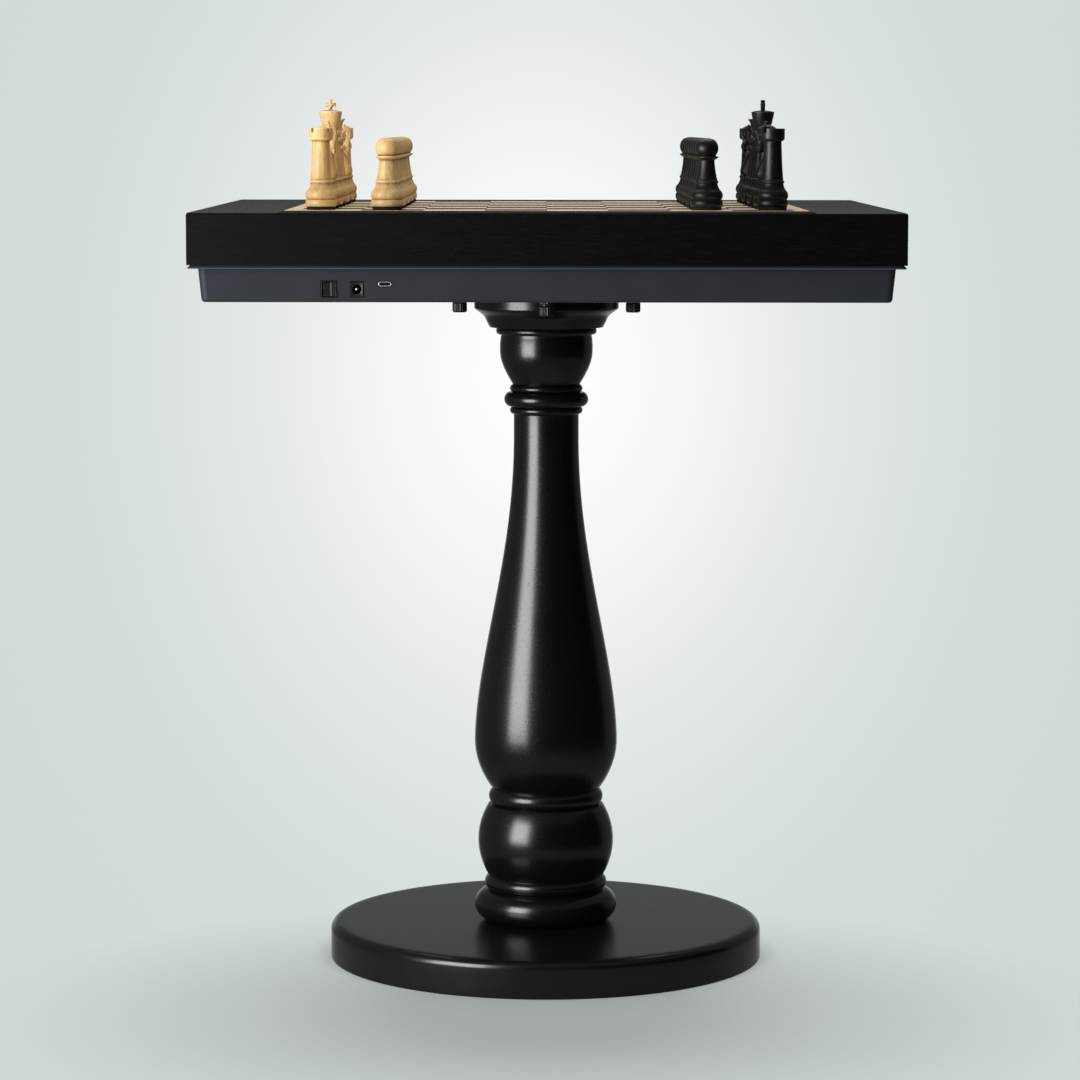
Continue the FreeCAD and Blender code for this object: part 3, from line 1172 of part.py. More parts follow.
def knight():
    """Turned foot with a horse's head: a side view cut to the width of a front view."""
    base = turned(foot_steps(KNIGHT_BASE_RADIUS, KNIGHT_STEM_RADIUS) + [(0, STEM_FOOT)])
    reach = KNIGHT_HEIGHT - STEM_FOOT
    grow = reach / KNIGHT_EARS[0][1]
    steps = [(-KNIGHT_STEM_RADIUS, 0.0), KNIGHT_BACK, KNIGHT_CREST]
    steps += list(KNIGHT_EARS)
    steps += [KNIGHT_FACE, KNIGHT_NOSE, KNIGHT_MUZZLE, KNIGHT_JAW, KNIGHT_CHEST]
    steps.append((KNIGHT_BREAST, (KNIGHT_STEM_RADIUS, 0.0)))
    half = KNIGHT_FOOT_THICKNESS / 2
    crown = KNIGHT_CROWN_THICKNESS / 2
    side = outline_wire(steps, lambda u, v: point(u, -half, STEM_FOOT + v * grow))
    head = Part.Face(side).extrude(ALONG_Y * (2 * half))
    front = [(-half, STEM_FOOT), (half, STEM_FOOT), (crown, KNIGHT_HEIGHT), (-crown, KNIGHT_HEIGHT)]
    clear = 2 * KNIGHT_BASE_RADIUS
    width = outline_wire(front, lambda u, v: point(-clear, u, v))
    head = head.common(Part.Face(width).extrude(ALONG_X * (2 * clear)))
    return base.fuse(head).removeSplitter()


def bishop():
    finial = ball_steps(BISHOP_FINIAL_NECK, BISHOP_FINIAL_RADIUS, BISHOP_HEIGHT)
    head_foot = finial[0][1] - BISHOP_HEAD_HEIGHT
    steps = collared_steps(BISHOP_BASE_RADIUS, BISHOP_STEM_RADIUS, BISHOP_WAIST_RADIUS, head_foot)
    widest = head_foot + BISHOP_HEAD_MIDDLE
    steps.append(((BISHOP_HEAD_RADIUS, widest), finial[0]))
    steps.append(finial[1])
    body = turned(steps)
    half = BISHOP_SLOT_WIDTH / 2
    slot = box(0, BISHOP_HEAD_RADIUS * 2, -BISHOP_HEAD_RADIUS, BISHOP_HEAD_RADIUS, -half, half)
    slot.rotate(CENTRE, ALONG_Y, -BISHOP_SLOT_SLOPE)
    slot.translate(point(BISHOP_SLOT_FROM_AXIS, 0, widest))
    return body.cut(slot)


def queen():
    ball = ball_steps(QUEEN_BALL_NECK, QUEEN_BALL_RADIUS, QUEEN_HEIGHT)
    rim = ball[0][1]
    crown_foot = rim - QUEEN_CROWN_HEIGHT
    inside = QUEEN_CROWN_RADIUS - QUEEN_CROWN_WALL
    steps = collared_steps(QUEEN_BASE_RADIUS, QUEEN_STEM_RADIUS, QUEEN_WAIST_RADIUS, crown_foot)
    flare = (QUEEN_CROWN_MIDDLE, crown_foot + QUEEN_CROWN_HEIGHT / 2)
    steps.append((flare, (QUEEN_CROWN_RADIUS, rim)))
    steps.append((inside, rim))
    steps += ball
    body = turned(steps)
    for x, y in around(QUEEN_CROWN_POINTS, inside):
        outward = point(x, y, 0).normalize()
        start = point(x, y, rim + QUEEN_NOTCH_RAISE)
        body = body.cut(Part.makeCylinder(QUEEN_NOTCH_RADIUS, 2 * QUEEN_CROWN_WALL, start, outward))
    return body


def king():
    dome = KING_HEIGHT - CROSS_HEIGHT
    rim = dome - KING_CROWN_DOME
    crown_foot = rim - KING_CROWN_HEIGHT
    steps = collared_steps(KING_BASE_RADIUS, KING_STEM_RADIUS, KING_WAIST_RADIUS, crown_foot)
    flare = (KING_CROWN_MIDDLE, crown_foot + KING_CROWN_HEIGHT / 2)
    steps.append((flare, (KING_CROWN_RADIUS, rim)))
    steps.append(cap_step(KING_CROWN_RADIUS, rim, dome))
    body = turned(steps)
    half = CROSS_THICKNESS / 2
    arm_z = dome + CROSS_ARM_HEIGHT
    upright = box(-half, half, -half, half, dome - CROSS_ROOT, KING_HEIGHT)
    arms = box(-CROSS_SPAN / 2, CROSS_SPAN / 2, -half, half, arm_z - half, arm_z + half)
    return body.fuse([upright, arms]).removeSplitter()


BASE_RADII = {"pawn": PAWN_BASE_RADIUS, "rook": ROOK_BASE_RADIUS, "knight": KNIGHT_BASE_RADIUS,
              "bishop": BISHOP_BASE_RADIUS, "queen": QUEEN_BASE_RADIUS, "king": KING_BASE_RADIUS}
BODIES = {"pawn": pawn, "rook": rook, "knight": knight, "bishop": bishop, "queen": queen, "king": king}
FILES = "hgfedcba"            # from the connector side to the far side
BACK_RANK = ("rook", "knight", "bishop", "king", "queen", "bishop", "knight", "rook")
DARK_TURN = {"knight": 180, "bishop": 180, "king": 90}


def chessman(kind):
    """Body, felt pad and the magnet in the foot."""
    magnet_top = FELT_THICKNESS + PIECE_MAGNET_HEIGHT
    magnet = post(PIECE_MAGNET_RADIUS, 0, 0, FELT_THICKNESS, magnet_top)
    felt = post(BASE_RADII[kind] - PLINTH_BEAD - FELT_INSET, 0, 0, 0, FELT_THICKNESS)
    return Part.makeCompound([BODIES[kind]().cut(magnet), felt, magnet])


def save_chessmen():
    """Set up both sides on their squares and write each chessman as a node of its own."""
    made = {kind: chessman(kind) for kind in BODIES}
    pawns = ["pawn"] * SQUARES
    back = square_centre(0) - BACK_RANK_SHIFT
    front = square_centre(1) - PAWN_RANK_SHIFT
    for colour, rank, kinds in (("white", back, BACK_RANK), ("white", front, pawns),
                                ("black", -front, pawns), ("black", -back, BACK_RANK)):
        for step, kind in enumerate(kinds):
            man = made[kind].copy()
            if colour == "black":
                man.rotate(CENTRE, UP, DARK_TURN.get(kind, 0))
            man.translate(point(rank, square_centre(step), BOARD_TOP))
            single = kind in ("king", "queen")
            name = colour + "_" + kind + ("" if single else "_" + FILES[step])
            save(name, man.Solids)


os.makedirs("parts", exist_ok=True)
save("base_disc", base_disc())
save("column", column())
save("top_flange", top_flange())
save("mounting_plate", mounting_plate())
save("thumbscrews", [thumbscrew(x, y) for x, y in THUMBSCREW_PLACES])
save("steel_fasteners", steel_fasteners())
save("lower_tray", lower_tray())
save("frame_rails", frame_rails())
save("board_panel", board_panel())
save("light_inlay", light_inlay())
save("sensor_board", sensor_board())
save("power_switch_housing", power_switch_housing())
save("power_rocker", power_rocker())
save("dc_power_jack", dc_power_jack())
save("usb_c_port", usb_c_port())
save("main_circuit_board", main_circuit_board())
save("x_guide_rods", x_guide_rods())
save("bridge", bridge())
save("magnet_carriage", magnet_carriage())
save("electromagnet", electromagnet())
save("x_motor", motor(X_MOTOR_SIZE, X_PULLEY_X, X_PULLEY_Y, FLOOR_TOP, FLOOR_TOP + X_MOTOR_HEIGHT))
save("x_drive_pulley", drive_pulley(X_PULLEY_X, X_PULLEY_Y, X_PULLEY_BOTTOM, FLOOR_TOP + X_MOTOR_HEIGHT))
save("x_idler_pulley", idler_pulley(-X_PULLEY_X, X_PULLEY_Y, X_PULLEY_BOTTOM))
X_BELT_ENDS = (point(-X_PULLEY_X, X_PULLEY_Y, 0), point(X_PULLEY_X, X_PULLEY_Y, 0))
save("x_belt", belt(X_BELT_ENDS, ALONG_Y, X_PULLEY_BOTTOM))
save("y_motor", motor(Y_MOTOR_SIZE, 0, Y_PULLEY_Y, BRACKET_BOTTOM - Y_MOTOR_HEIGHT, BRACKET_BOTTOM))
save("y_drive_pulley", drive_pulley(0, Y_PULLEY_Y, Y_PULLEY_BOTTOM, BRACKET_BOTTOM))
save("y_idler_pulley", idler_pulley(0, -Y_PULLEY_Y, Y_PULLEY_BOTTOM))
Y_BELT_ENDS = (point(0, -Y_PULLEY_Y, 0), point(0, Y_PULLEY_Y, 0))
save("y_belt", belt(Y_BELT_ENDS, ALONG_X, Y_PULLEY_BOTTOM))
save_chessmen()
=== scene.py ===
# %% [markdown]
# # A self-moving chess board on a turned pedestal
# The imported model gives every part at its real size. This lesson dresses it: turned parts become
# smooth surfaces of revolution, the frame gets mitred rails with grain along each rail, the
# chessmen get their carving, and every surface gets a finish made of nodes.
# Lengths in the profiles are millimetres, as on a workshop drawing, and MM turns them into metres.

# %% Load the frame
import math

import bmesh
import bpy
import numpy as np
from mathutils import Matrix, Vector


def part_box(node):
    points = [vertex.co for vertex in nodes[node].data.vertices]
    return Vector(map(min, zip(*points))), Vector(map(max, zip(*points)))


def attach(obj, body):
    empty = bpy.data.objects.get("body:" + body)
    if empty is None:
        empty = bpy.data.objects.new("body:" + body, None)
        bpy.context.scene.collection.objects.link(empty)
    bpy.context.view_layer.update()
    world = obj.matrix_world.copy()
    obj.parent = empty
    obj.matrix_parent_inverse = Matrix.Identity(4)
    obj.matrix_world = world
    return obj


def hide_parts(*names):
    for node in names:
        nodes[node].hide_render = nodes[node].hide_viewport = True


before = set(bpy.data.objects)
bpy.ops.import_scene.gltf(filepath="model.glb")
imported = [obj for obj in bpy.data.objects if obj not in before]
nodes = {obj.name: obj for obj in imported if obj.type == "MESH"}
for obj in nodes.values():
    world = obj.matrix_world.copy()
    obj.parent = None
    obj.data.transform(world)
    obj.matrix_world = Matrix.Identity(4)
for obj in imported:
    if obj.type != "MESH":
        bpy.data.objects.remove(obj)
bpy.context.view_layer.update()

MM = 0.001

# %% [markdown]
# ## From arrays to meshes
# A surface here is a grid of points: rows run along a profile, columns run round or along it. The
# faces of such a grid follow from its indices alone, so numpy can number them all at once. Writing
# the points through whole arrays is much quicker than adding vertices one by one.

# %% Grids and objects
def grid_faces(rows, columns, wrap_rows=False, wrap_columns=True):
    """Quads of a rows by columns grid: cell (i, j) joins (i, j), (i, j+1), (i+1, j+1), (i+1, j)."""
    i = np.arange(rows if wrap_rows else rows - 1)[:, None]
    j = np.arange(columns if wrap_columns else columns - 1)[None, :]
    below = (i + 1) % rows
    beside = (j + 1) % columns
    cells = [i * columns + j, i * columns + beside, below * columns + beside, below * columns + j]
    return np.stack(np.broadcast_arrays(*cells), -1).reshape(-1, 4)


def capped_faces(rows, columns):
    """Quads of a tube, and one face over each of its ends."""
    ends = np.arange(rows * columns).reshape(rows, columns)[[0, -1]]
    return grid_faces(rows, columns).tolist() + ends.tolist()


def cloud(x, y, z):
    """One row of x, y, z for each point of a grid. A number or a column is repeated as the others need."""
    return np.stack(np.broadcast_arrays(x, y, z), -1).reshape(-1, 3)


def ring_angles(segments):
    """Angles of a full turn in equal steps."""
    return np.linspace(0, 2 * math.pi, segments, endpoint=False)


def read(items, name, width=3, kind=float):
    """One value of all the points, corners or faces of a mesh, as rows of that width."""
    values = np.empty(len(items) * width, kind)
    items.foreach_get(name, values)
    return values.reshape(-1, width) if width > 1 else values


def join_parts(parts):
    """Stack several (points, faces) pairs into one, with the faces renumbered."""
    points = np.concatenate([points for points, faces in parts])
    starts = np.cumsum([0] + [len(part[0]) for part in parts[:-1]]).tolist()
    faces = []
    for start, (part, cells) in zip(starts, parts):
        faces += [[corner + start for corner in cell] for cell in np.array(cells, object).tolist()]
    return points, faces


def new_object(name, points, faces, sharp_degrees=40.0, merge=1e-7, marks=None):
    """A mesh object at the origin. Doubles are merged, normals turned outwards, edges split by angle.

    marks gives each point a number, which the finish reads as the attribute hollow."""
    mesh = bpy.data.meshes.new(name)
    mesh.from_pydata(np.asarray(points, float).tolist(), [], [list(face) for face in faces])
    if marks is not None:
        mesh.attributes.new("hollow", "FLOAT", "POINT").data.foreach_set("value", np.asarray(marks, np.float32))
    work = bmesh.new()
    work.from_mesh(mesh)
    bmesh.ops.remove_doubles(work, verts=work.verts, dist=merge)
    bmesh.ops.recalc_face_normals(work, faces=work.faces)
    work.to_mesh(mesh)
    work.free()
    mesh.shade_smooth()
    mesh.set_sharp_from_angle(angle=math.radians(sharp_degrees))
    piece = bpy.data.objects.new(name, mesh)
    bpy.context.scene.collection.objects.link(piece)
    return piece


def dress(piece, body, material, replaced=None):
    """Hang a piece on its body, name the finish it takes, and let it stand for a node."""
    for one in material if isinstance(material, list) else [material]:
        piece.data.materials.append(one)
    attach(piece, body)
    if replaced:
        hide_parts(replaced)
    return piece


# %% [markdown]
# ## Profiles
# A turner works from a profile: straight runs, beads and coves. An arc through three points is the
# easiest way to write a bead, because the crest is the middle point. Real lacquer and real tools
# round every corner a little, so the traced line is smoothed over a short length before it is
# turned. Points are then spread by bend: many on tight beads, few on long gentle runs.

# %% Tracing and turning
def arc_points(start, middle, end, count=24):
    """Points on the circle through three points, from start to end by way of middle."""
    (ax, ay), (bx, by), (cx, cy) = start, middle, end
    d = 2 * (ax * (by - cy) + bx * (cy - ay) + cx * (ay - by))
    a2, b2, c2 = ax * ax + ay * ay, bx * bx + by * by, cx * cx + cy * cy
    ux = (a2 * (by - cy) + b2 * (cy - ay) + c2 * (ay - by)) / d
    uy = (a2 * (cx - bx) + b2 * (ax - cx) + c2 * (bx - ax)) / d
    first = math.atan2(ay - uy, ax - ux)
    to_middle = (math.atan2(by - uy, bx - ux) - first) % (2 * math.pi)
    to_end = (math.atan2(cy - uy, cx - ux) - first) % (2 * math.pi)
    sweep = to_end if to_middle < to_end else to_end - 2 * math.pi
    angles = first + sweep * np.linspace(0, 1, count)
    radius = math.hypot(ax - ux, ay - uy)
    return np.stack([ux + radius * np.cos(angles), uy + radius * np.sin(angles)], -1)


def trace(steps):
    """A polyline from steps. (r, z) is reached by a line, ((rm, zm), (r, z)) by an arc through rm, zm."""
    line = [np.array([steps[0]], float)]
    for step in steps[1:]:
        last = tuple(line[-1][-1])
        if isinstance(step, np.ndarray):
            line.append(step)
        elif isinstance(step[0], tuple):
            line.append(arc_points(last, *step)[1:])
        else:
            line.append(np.array([step], float))
    return np.concatenate(line)


def soften(line, window, spacing):
    """Resample a polyline evenly and average it over a window, which rounds its corners.

    The first two columns are the line. Further columns are values that ride along it."""
    gaps = np.hypot(*np.diff(line[:, :2], axis=0).T)
    keep = np.concatenate([[True], gaps > 1e-9])
    line = line[keep]
    length = np.concatenate([[0], np.cumsum(gaps[keep[1:]])])
    even = np.linspace(0, length[-1], int(length[-1] / spacing) + 2)
    line = np.stack([np.interp(even, length, column) for column in line.T], -1)
    reach = max(1, int(window / spacing / 2))
    padded = np.concatenate([2 * line[:1] - line[reach:0:-1], line, 2 * line[-1:] - line[-2:-reach - 2:-1]])
    kernel = np.hanning(2 * reach + 3)[1:-1]
    kernel /= kernel.sum()
    smooth = np.stack([np.convolve(column, kernel, "valid") for column in padded.T], -1)
    smooth[0], smooth[-1] = line[0], line[-1]
    return smooth


def spread_by_bend(line, count, bend_weight=60.0):
    """Pick points so that each takes an equal share of length plus weighted bend."""
    step = np.diff(line[:, :2], axis=0)
    length = np.hypot(*step.T)
    heading = np.unwrap(np.arctan2(step[:, 1], step[:, 0]))
    turn = np.abs(np.diff(heading, prepend=heading[:1]))
    cost = np.concatenate([[0], np.cumsum(length + turn * bend_weight)])
    wanted = np.linspace(0, cost[-1], count)
    return np.stack([np.interp(wanted, cost, column) for column in line.T], -1)


def turn_profile(line, segments):
    """Carry a profile of (radius, height) in millimetres round an upright axis, as points in metres."""
    angle = ring_angles(segments)
    radius = line[:, 0, None] * MM
    points = cloud(radius * np.cos(angle), radius * np.sin(angle), line[:, 1, None] * MM)
    return points, grid_faces(len(line), segments)


# %% [markdown]
# ## A short way to write nodes
# Every finish below is a tree of nodes. Typing each link by hand hides the idea, so a few helpers
# place a node with its inputs in one line. A number or colour that is the same all over is set on
# the shader itself, and only what changes over the surface comes through a link.

# %% Node helpers
def add(tree, kind, inputs=None, **settings):
    """Place one node. inputs maps a socket's name or number to a value or to another node's socket."""
    node = tree.nodes.new("ShaderNode" + kind)
    for name, value in settings.items():
        setattr(node, name, value)
    for socket, value in (inputs or {}).items():
        if isinstance(value, bpy.types.NodeSocket):
            tree.links.new(value, node.inputs[socket])
        else:
            node.inputs[socket].default_value = value
    return node


def calc(tree, operation, *values):
    """One arithmetic step on numbers or sockets."""
    return add(tree, "Math", dict(enumerate(values)), operation=operation).outputs[0]


def spread(tree, value, low, high, start=0.0, end=1.0):
    """Map low..high to start..end in a straight line, held at both ends."""
    given = {"Value": value, "From Min": low, "From Max": high, "To Min": start, "To Max": end}
    return add(tree, "MapRange", given).outputs["Result"]


def blend(tree, share, first, second, mode="MIX"):
    """Mix two colours by a share from 0 to 1. A colour is a socket, or its red, green and blue."""
    first, second = ((*colour, 1) if isinstance(colour, tuple) else colour for colour in (first, second))
    node = add(tree, "Mix", {0: share, 6: first, 7: second}, data_type="RGBA", blend_type=mode)
    return node.outputs[2]


def noise(tree, place, scale, detail=3.0, roughness=0.5, distortion=0.0):
    """Cloud noise, about 0.25 to 0.75, with features about 1 / scale metres wide."""
    given = {"Vector": place, "Scale": scale, "Detail": detail, "Roughness": roughness, "Distortion": distortion}
    return add(tree, "TexNoise", given).outputs["Fac"]


def stretch(tree, place, factors):
    """Multiply a place by factors. A small factor draws a pattern out along that axis."""
    return add(tree, "VectorMath", {0: place, 1: factors}, operation="MULTIPLY").outputs[0]


def new_group(name, inputs, outputs):
    """An empty node group with named sockets. Returns the group, its given values and its output node."""
    group = bpy.data.node_groups.new(name, "ShaderNodeTree")
    for label, kind, value in inputs:
        socket = group.interface.new_socket(label, in_out="INPUT", socket_type="NodeSocket" + kind)
        if value is not None:
            socket.default_value = value
    for label in outputs:
        group.interface.new_socket(label, in_out="OUTPUT", socket_type="NodeSocketFloat")
    return group, group.nodes.new("NodeGroupInput").outputs, group.nodes.new("NodeGroupOutput")


def close_group(group, out, results):
    """Link a group's results to its output node."""
    for name, value in results.items():
        group.links.new(value, out.inputs[name])
    return group


def use_group(tree, group, inputs):
    """Place a group in a material with its own values."""
    return add(tree, "Group", inputs, node_tree=group).outputs


def new_material(name, colour, roughness, metallic=0.0, specular=0.5):
    """A Principled material with its plain values. Returns the material, its tree and the shader."""
    material = bpy.data.materials.new(name)
    material.use_nodes = True
    tree = material.node_tree
    shader = tree.nodes["Principled BSDF"]
    plain = {"Base Color": (*colour, 1.0), "Roughness": roughness, "Metallic": metallic,
             "Specular IOR Level": specular}
    for socket, value in plain.items():
        shader.inputs[socket].default_value = value
    return material, tree, shader


def feed(tree, shader, colour=None, rough=None):
    """Link a colour and a roughness that change over the surface."""
    for socket, value in (("Base Color", colour), ("Roughness", rough)):
        if value is not None:
            tree.links.new(value, shader.inputs[socket])


def bump(tree, shader, height, distance, strength=1.0):
    """Let a height, 0 to 1, tilt the surface as if it stood distance metres high."""
    node = add(tree, "Bump", {"Height": height, "Distance": distance, "Strength": strength})
    tree.links.new(node.outputs["Normal"], shader.inputs["Normal"])


def object_place(tree):
    """The place on the object in metres, from its origin."""
    return add(tree, "TexCoord").outputs["Object"]


def attribute(tree, name):
    """What a mesh stores under a name: take Vector or Fac."""
    return add(tree, "Attribute", attribute_name=name).outputs


# %% [markdown]
# ## Three effects that many finishes share
# Timber has broad growth bands, fine fibres and short dark pores, all drawn out along the grain.
# Lacquer and plastic are never perfectly even: they have soft patches where hands have been and a
# fine skin. Each effect is one node group, and every finish places it with its own scale.

# %% Effect groups
def timber_group():
    """Bands, fibres and pores along the first axis of Place, which is in metres."""
    inputs = [("Place", "Vector", None), ("Band Width", "Float", 0.004), ("Pore Width", "Float", 0.0005)]
    group, given, out = new_group("timber_grain", inputs, ("Band", "Fibre", "Pore", "Height"))
    place = given["Place"]
    band_scale = calc(group, "DIVIDE", 1.0, given["Band Width"])
    pore_scale = calc(group, "DIVIDE", 1.0, given["Pore Width"])
    band = spread(group, noise(group, stretch(group, place, (0.05, 1, 1)), band_scale, 3, 0.55, 0.4), 0.32, 0.68)
    fibre = spread(group, noise(group, stretch(group, place, (0.02, 1, 1)), pore_scale, 2, 0.6), 0.25, 0.75)
    short = noise(group, stretch(group, place, (0.035, 1, 1)), pore_scale, 1, 0.4)
    pore = spread(group, short, 0.60, 0.68)
    height = calc(group, "SUBTRACT", calc(group, "MULTIPLY", fibre, 0.35), pore)
    return close_group(group, out, {"Band": band, "Fibre": fibre, "Pore": pore, "Height": height})


def skin_group():
    """Soft patches and a fine skin, for lacquer, plastic and metal."""
    inputs = [("Place", "Vector", None), ("Patch Width", "Float", 0.05), ("Skin Width", "Float", 0.001)]
    group, given, out = new_group("surface_skin", inputs, ("Patch", "Skin", "Speck"))
    place = given["Place"]
    patch_scale = calc(group, "DIVIDE", 1.0, given["Patch Width"])
    skin_scale = calc(group, "DIVIDE", 1.0, given["Skin Width"])
    patch = spread(group, noise(group, place, patch_scale, 4, 0.55), 0.3, 0.7)
    skin = noise(group, place, skin_scale, 2, 0.5)
    speck = spread(group, noise(group, place, skin_scale, 0), 0.72, 0.78)
    return close_group(group, out, {"Patch": patch, "Skin": skin, "Speck": speck})


def handling_group():
    """Darker in hollows and paler on rubbed crests, from the attribute that says how hollow a place is."""
    inputs = [("Hollow", "Float", 0.0), ("Break Up", "Float", 0.5)]
    group, given, out = new_group("handling", inputs, ("Hollow Dark", "Rub"))
    uneven = calc(group, "MULTIPLY_ADD", given["Break Up"], 0.5, 0.75)
    # darker where the attribute hollow is high: in coves and carved cuts
    hollow_dark = calc(group, "MULTIPLY", spread(group, given["Hollow"], 0.02, 0.35), uneven)
    rub = calc(group, "MULTIPLY", spread(group, given["Hollow"], -0.05, -0.4), uneven)
    return close_group(group, out, {"Hollow Dark": hollow_dark, "Rub": rub})


TIMBER = timber_group()
SKIN = skin_group()
HANDLING = handling_group()
print("effect groups:", [group.name for group in bpy.data.node_groups])

# %% [markdown]
# ## Lacquer and plastic
# The pedestal is black lacquer, sprayed and rubbed: almost no colour of its own, so what shows is the
# reflection, broken a little by orange peel. The tray is moulded plastic with a fine satin texture.
# Both could be one flat colour, but the eye reads the finish from how the highlight breaks up.

# %% Lacquer and plastic finishes
def black_lacquer():
    """Deep gloss: orange peel in the bump, soft patches and a few specks of dust in the roughness."""
    material, tree, shader = new_material("black_lacquer", (0.0025, 0.0026, 0.0028), 0.24)
    skin = use_group(tree, SKIN, {"Place": object_place(tree), "Patch Width": 0.06, "Skin Width": 0.0011})
    rough = calc(tree, "MULTIPLY_ADD", skin["Patch"], 0.05, 0.22)
    feed(tree, shader, rough=calc(tree, "MULTIPLY_ADD", skin["Speck"], 0.12, rough))
    bump(tree, shader, skin["Skin"], 0.00004, 0.6)
    return material


def base_lacquer():
    """The base takes more wiping, so its lacquer has faint rub marks and a softer gloss."""
    material, tree, shader = new_material("base_lacquer", (0.0035, 0.0037, 0.0038), 0.2)
    place = object_place(tree)
    skin = use_group(tree, SKIN, {"Place": place, "Patch Width": 0.04, "Skin Width": 0.0012})
    wipe = noise(tree, stretch(tree, place, (1, 0.12, 1)), 260, 3)
    rough = calc(tree, "MULTIPLY_ADD", skin["Patch"], 0.05, 0.18)
    feed(tree, shader, rough=calc(tree, "MULTIPLY_ADD", wipe, 0.05, rough))
    bump(tree, shader, skin["Skin"], 0.00003, 0.5)
    return material


def paler(colour, factor):
    """A colour times a factor, held at white."""
    return tuple(min(1.0, factor * c) for c in colour)


def moulded_plastic(name, colour, roughness, grain=0.0006, specular=0.4, painted_highlight=None):
    """Satin moulded plastic: a fine stipple, and patches where the mould was polished more.

    painted_highlight is (low, high, colour): the band of an edge between the two heights is painted in that paler
    colour, a painted highlight."""
    material, tree, shader = new_material(name, colour, roughness, specular=specular)
    skin = use_group(tree, SKIN, {"Place": object_place(tree), "Patch Width": 0.03, "Skin Width": grain})
    tint = blend(tree, calc(tree, "MULTIPLY", skin["Patch"], 0.5), colour, paler(colour, 1.25))
    # painted highlight: a paler band along an edge, between two heights
    if painted_highlight:
        height = add(tree, "SeparateXYZ", {0: object_place(tree)}).outputs["Z"]
        on_highlight_band = calc(tree, "COMPARE", height, (painted_highlight[0] + painted_highlight[1]) / 2, (painted_highlight[1] - painted_highlight[0]) / 2)
        tint = blend(tree, on_highlight_band, tint, painted_highlight[2])
    feed(tree, shader, tint, calc(tree, "MULTIPLY_ADD", skin["Patch"], 0.1, roughness - 0.05))
    bump(tree, shader, skin["Skin"], grain * 0.08, 0.6)
    return material


def worked_metal(name, colour, roughness, direction=(1, 1, 0.03), scale=2500, metallic=1.0):
    """Metal with fine tool lines. direction draws the lines out along the axis with the small factor."""
    material, tree, shader = new_material(name, colour, roughness, metallic=metallic)
    place = object_place(tree)
    lines = noise(tree, stretch(tree, place, direction), scale, 2)
    skin = use_group(tree, SKIN, {"Place": place, "Patch Width": 0.012, "Skin Width": 0.0005})
    tint = blend(tree, skin["Patch"], colour, paler(colour, 1.12))
    feed(tree, shader, tint, calc(tree, "MULTIPLY_ADD", lines, 0.18, roughness - 0.09))
    bump(tree, shader, lines, 0.00001, 0.5)
    return material


def felt_pad():
    """Pressed felt: short fibres in every direction."""
    material, tree, shader = new_material("felt_pad", (0.012, 0.011, 0.010), 0.95, specular=0.1)
    hairs = noise(tree, object_place(tree), 2600, 4, 0.7, 0.8)
    feed(tree, shader, blend(tree, hairs, (0.006, 0.0055, 0.005), (0.03, 0.027, 0.024)))
    bump(tree, shader, hairs, 0.0002)
    return material


LACQUER = black_lacquer()
BASE_LACQUER = base_lacquer()
# The band from 521.3 to 522.2 mm is a painted highlight along the lower edge of the tray's lip.
TRAY_PLASTIC = moulded_plastic("tray_plastic", (0.0200, 0.0232, 0.0284), 0.45, 0.0007, 0.11,
                               (0.5213, 0.5222, (0.050, 0.054, 0.060)))
BLACK_PLASTIC = moulded_plastic("black_plastic", (0.010, 0.0105, 0.011), 0.38, 0.0004)
ROCKER_PLASTIC = moulded_plastic("rocker_plastic", (0.014, 0.0145, 0.015), 0.27, 0.0005)
DRIVE_PLASTIC = moulded_plastic("drive_plastic", (0.05, 0.05, 0.055), 0.5)
RUBBER = moulded_plastic("belt_rubber", (0.015, 0.015, 0.015), 0.75, 0.0008, 0.25)
BLACK_STEEL = worked_metal("black_steel", (0.020, 0.020, 0.022), 0.32, metallic=0.6)
BRIGHT_STEEL = worked_metal("bright_steel", (0.55, 0.56, 0.57), 0.28)
PORT_METAL = worked_metal("port_metal", (0.62, 0.62, 0.62), 0.5, (1, 0.05, 1))
MAGNET_METAL = worked_metal("magnet_metal", (0.45, 0.45, 0.46), 0.35)
MOTOR_METAL = worked_metal("motor_metal", (0.03, 0.03, 0.032), 0.4, metallic=0.5)
PULLEY_METAL = worked_metal("pulley_metal", (0.70, 0.70, 0.72), 0.3, (1, 1, 0.05))
FELT = felt_pad()
print("finishes before the timber:", len(bpy.data.materials))

# %% [markdown]
# ## Timber
# The frame is a very dark open-pored wood, the field is dark and light veneer squares, the men are
# boxwood and an ebonised wood. All use the same grain group. What differs is the direction that the
# grain runs: along each rail, one way over the field but with another stretch of veneer in each square,
# and upright in the chessmen, because they were turned from upright sticks.

# %% Timber finishes
def dark_frame_wood():
    """Near-black wood. grain runs along each rail or margin, open_grain is 1 where pores were left open."""
    material, tree, shader = new_material("dark_frame_wood", (0.0012, 0.0010, 0.0010), 0.45, specular=0.15)
    place = attribute(tree, "grain")["Vector"]
    grain = use_group(tree, TIMBER, {"Place": place, "Band Width": 0.0035, "Pore Width": 0.00055})
    body = blend(tree, grain["Band"], (0.0004, 0.0004, 0.0004), (0.0017, 0.0014, 0.0013))
    body = blend(tree, calc(tree, "MULTIPLY", grain["Fibre"], 0.45), body, (0.0032, 0.0026, 0.0024))
    body = blend(tree, grain["Pore"], body, (0.0002, 0.0002, 0.0002))
    rough = calc(tree, "MULTIPLY_ADD", grain["Pore"], 0.2, 0.42)
    rough = calc(tree, "MULTIPLY_ADD", attribute(tree, "open_grain")["Fac"], 0.42, rough)
    feed(tree, shader, body, rough)
    bump(tree, shader, grain["Height"], 0.00012, 0.8)
    return material


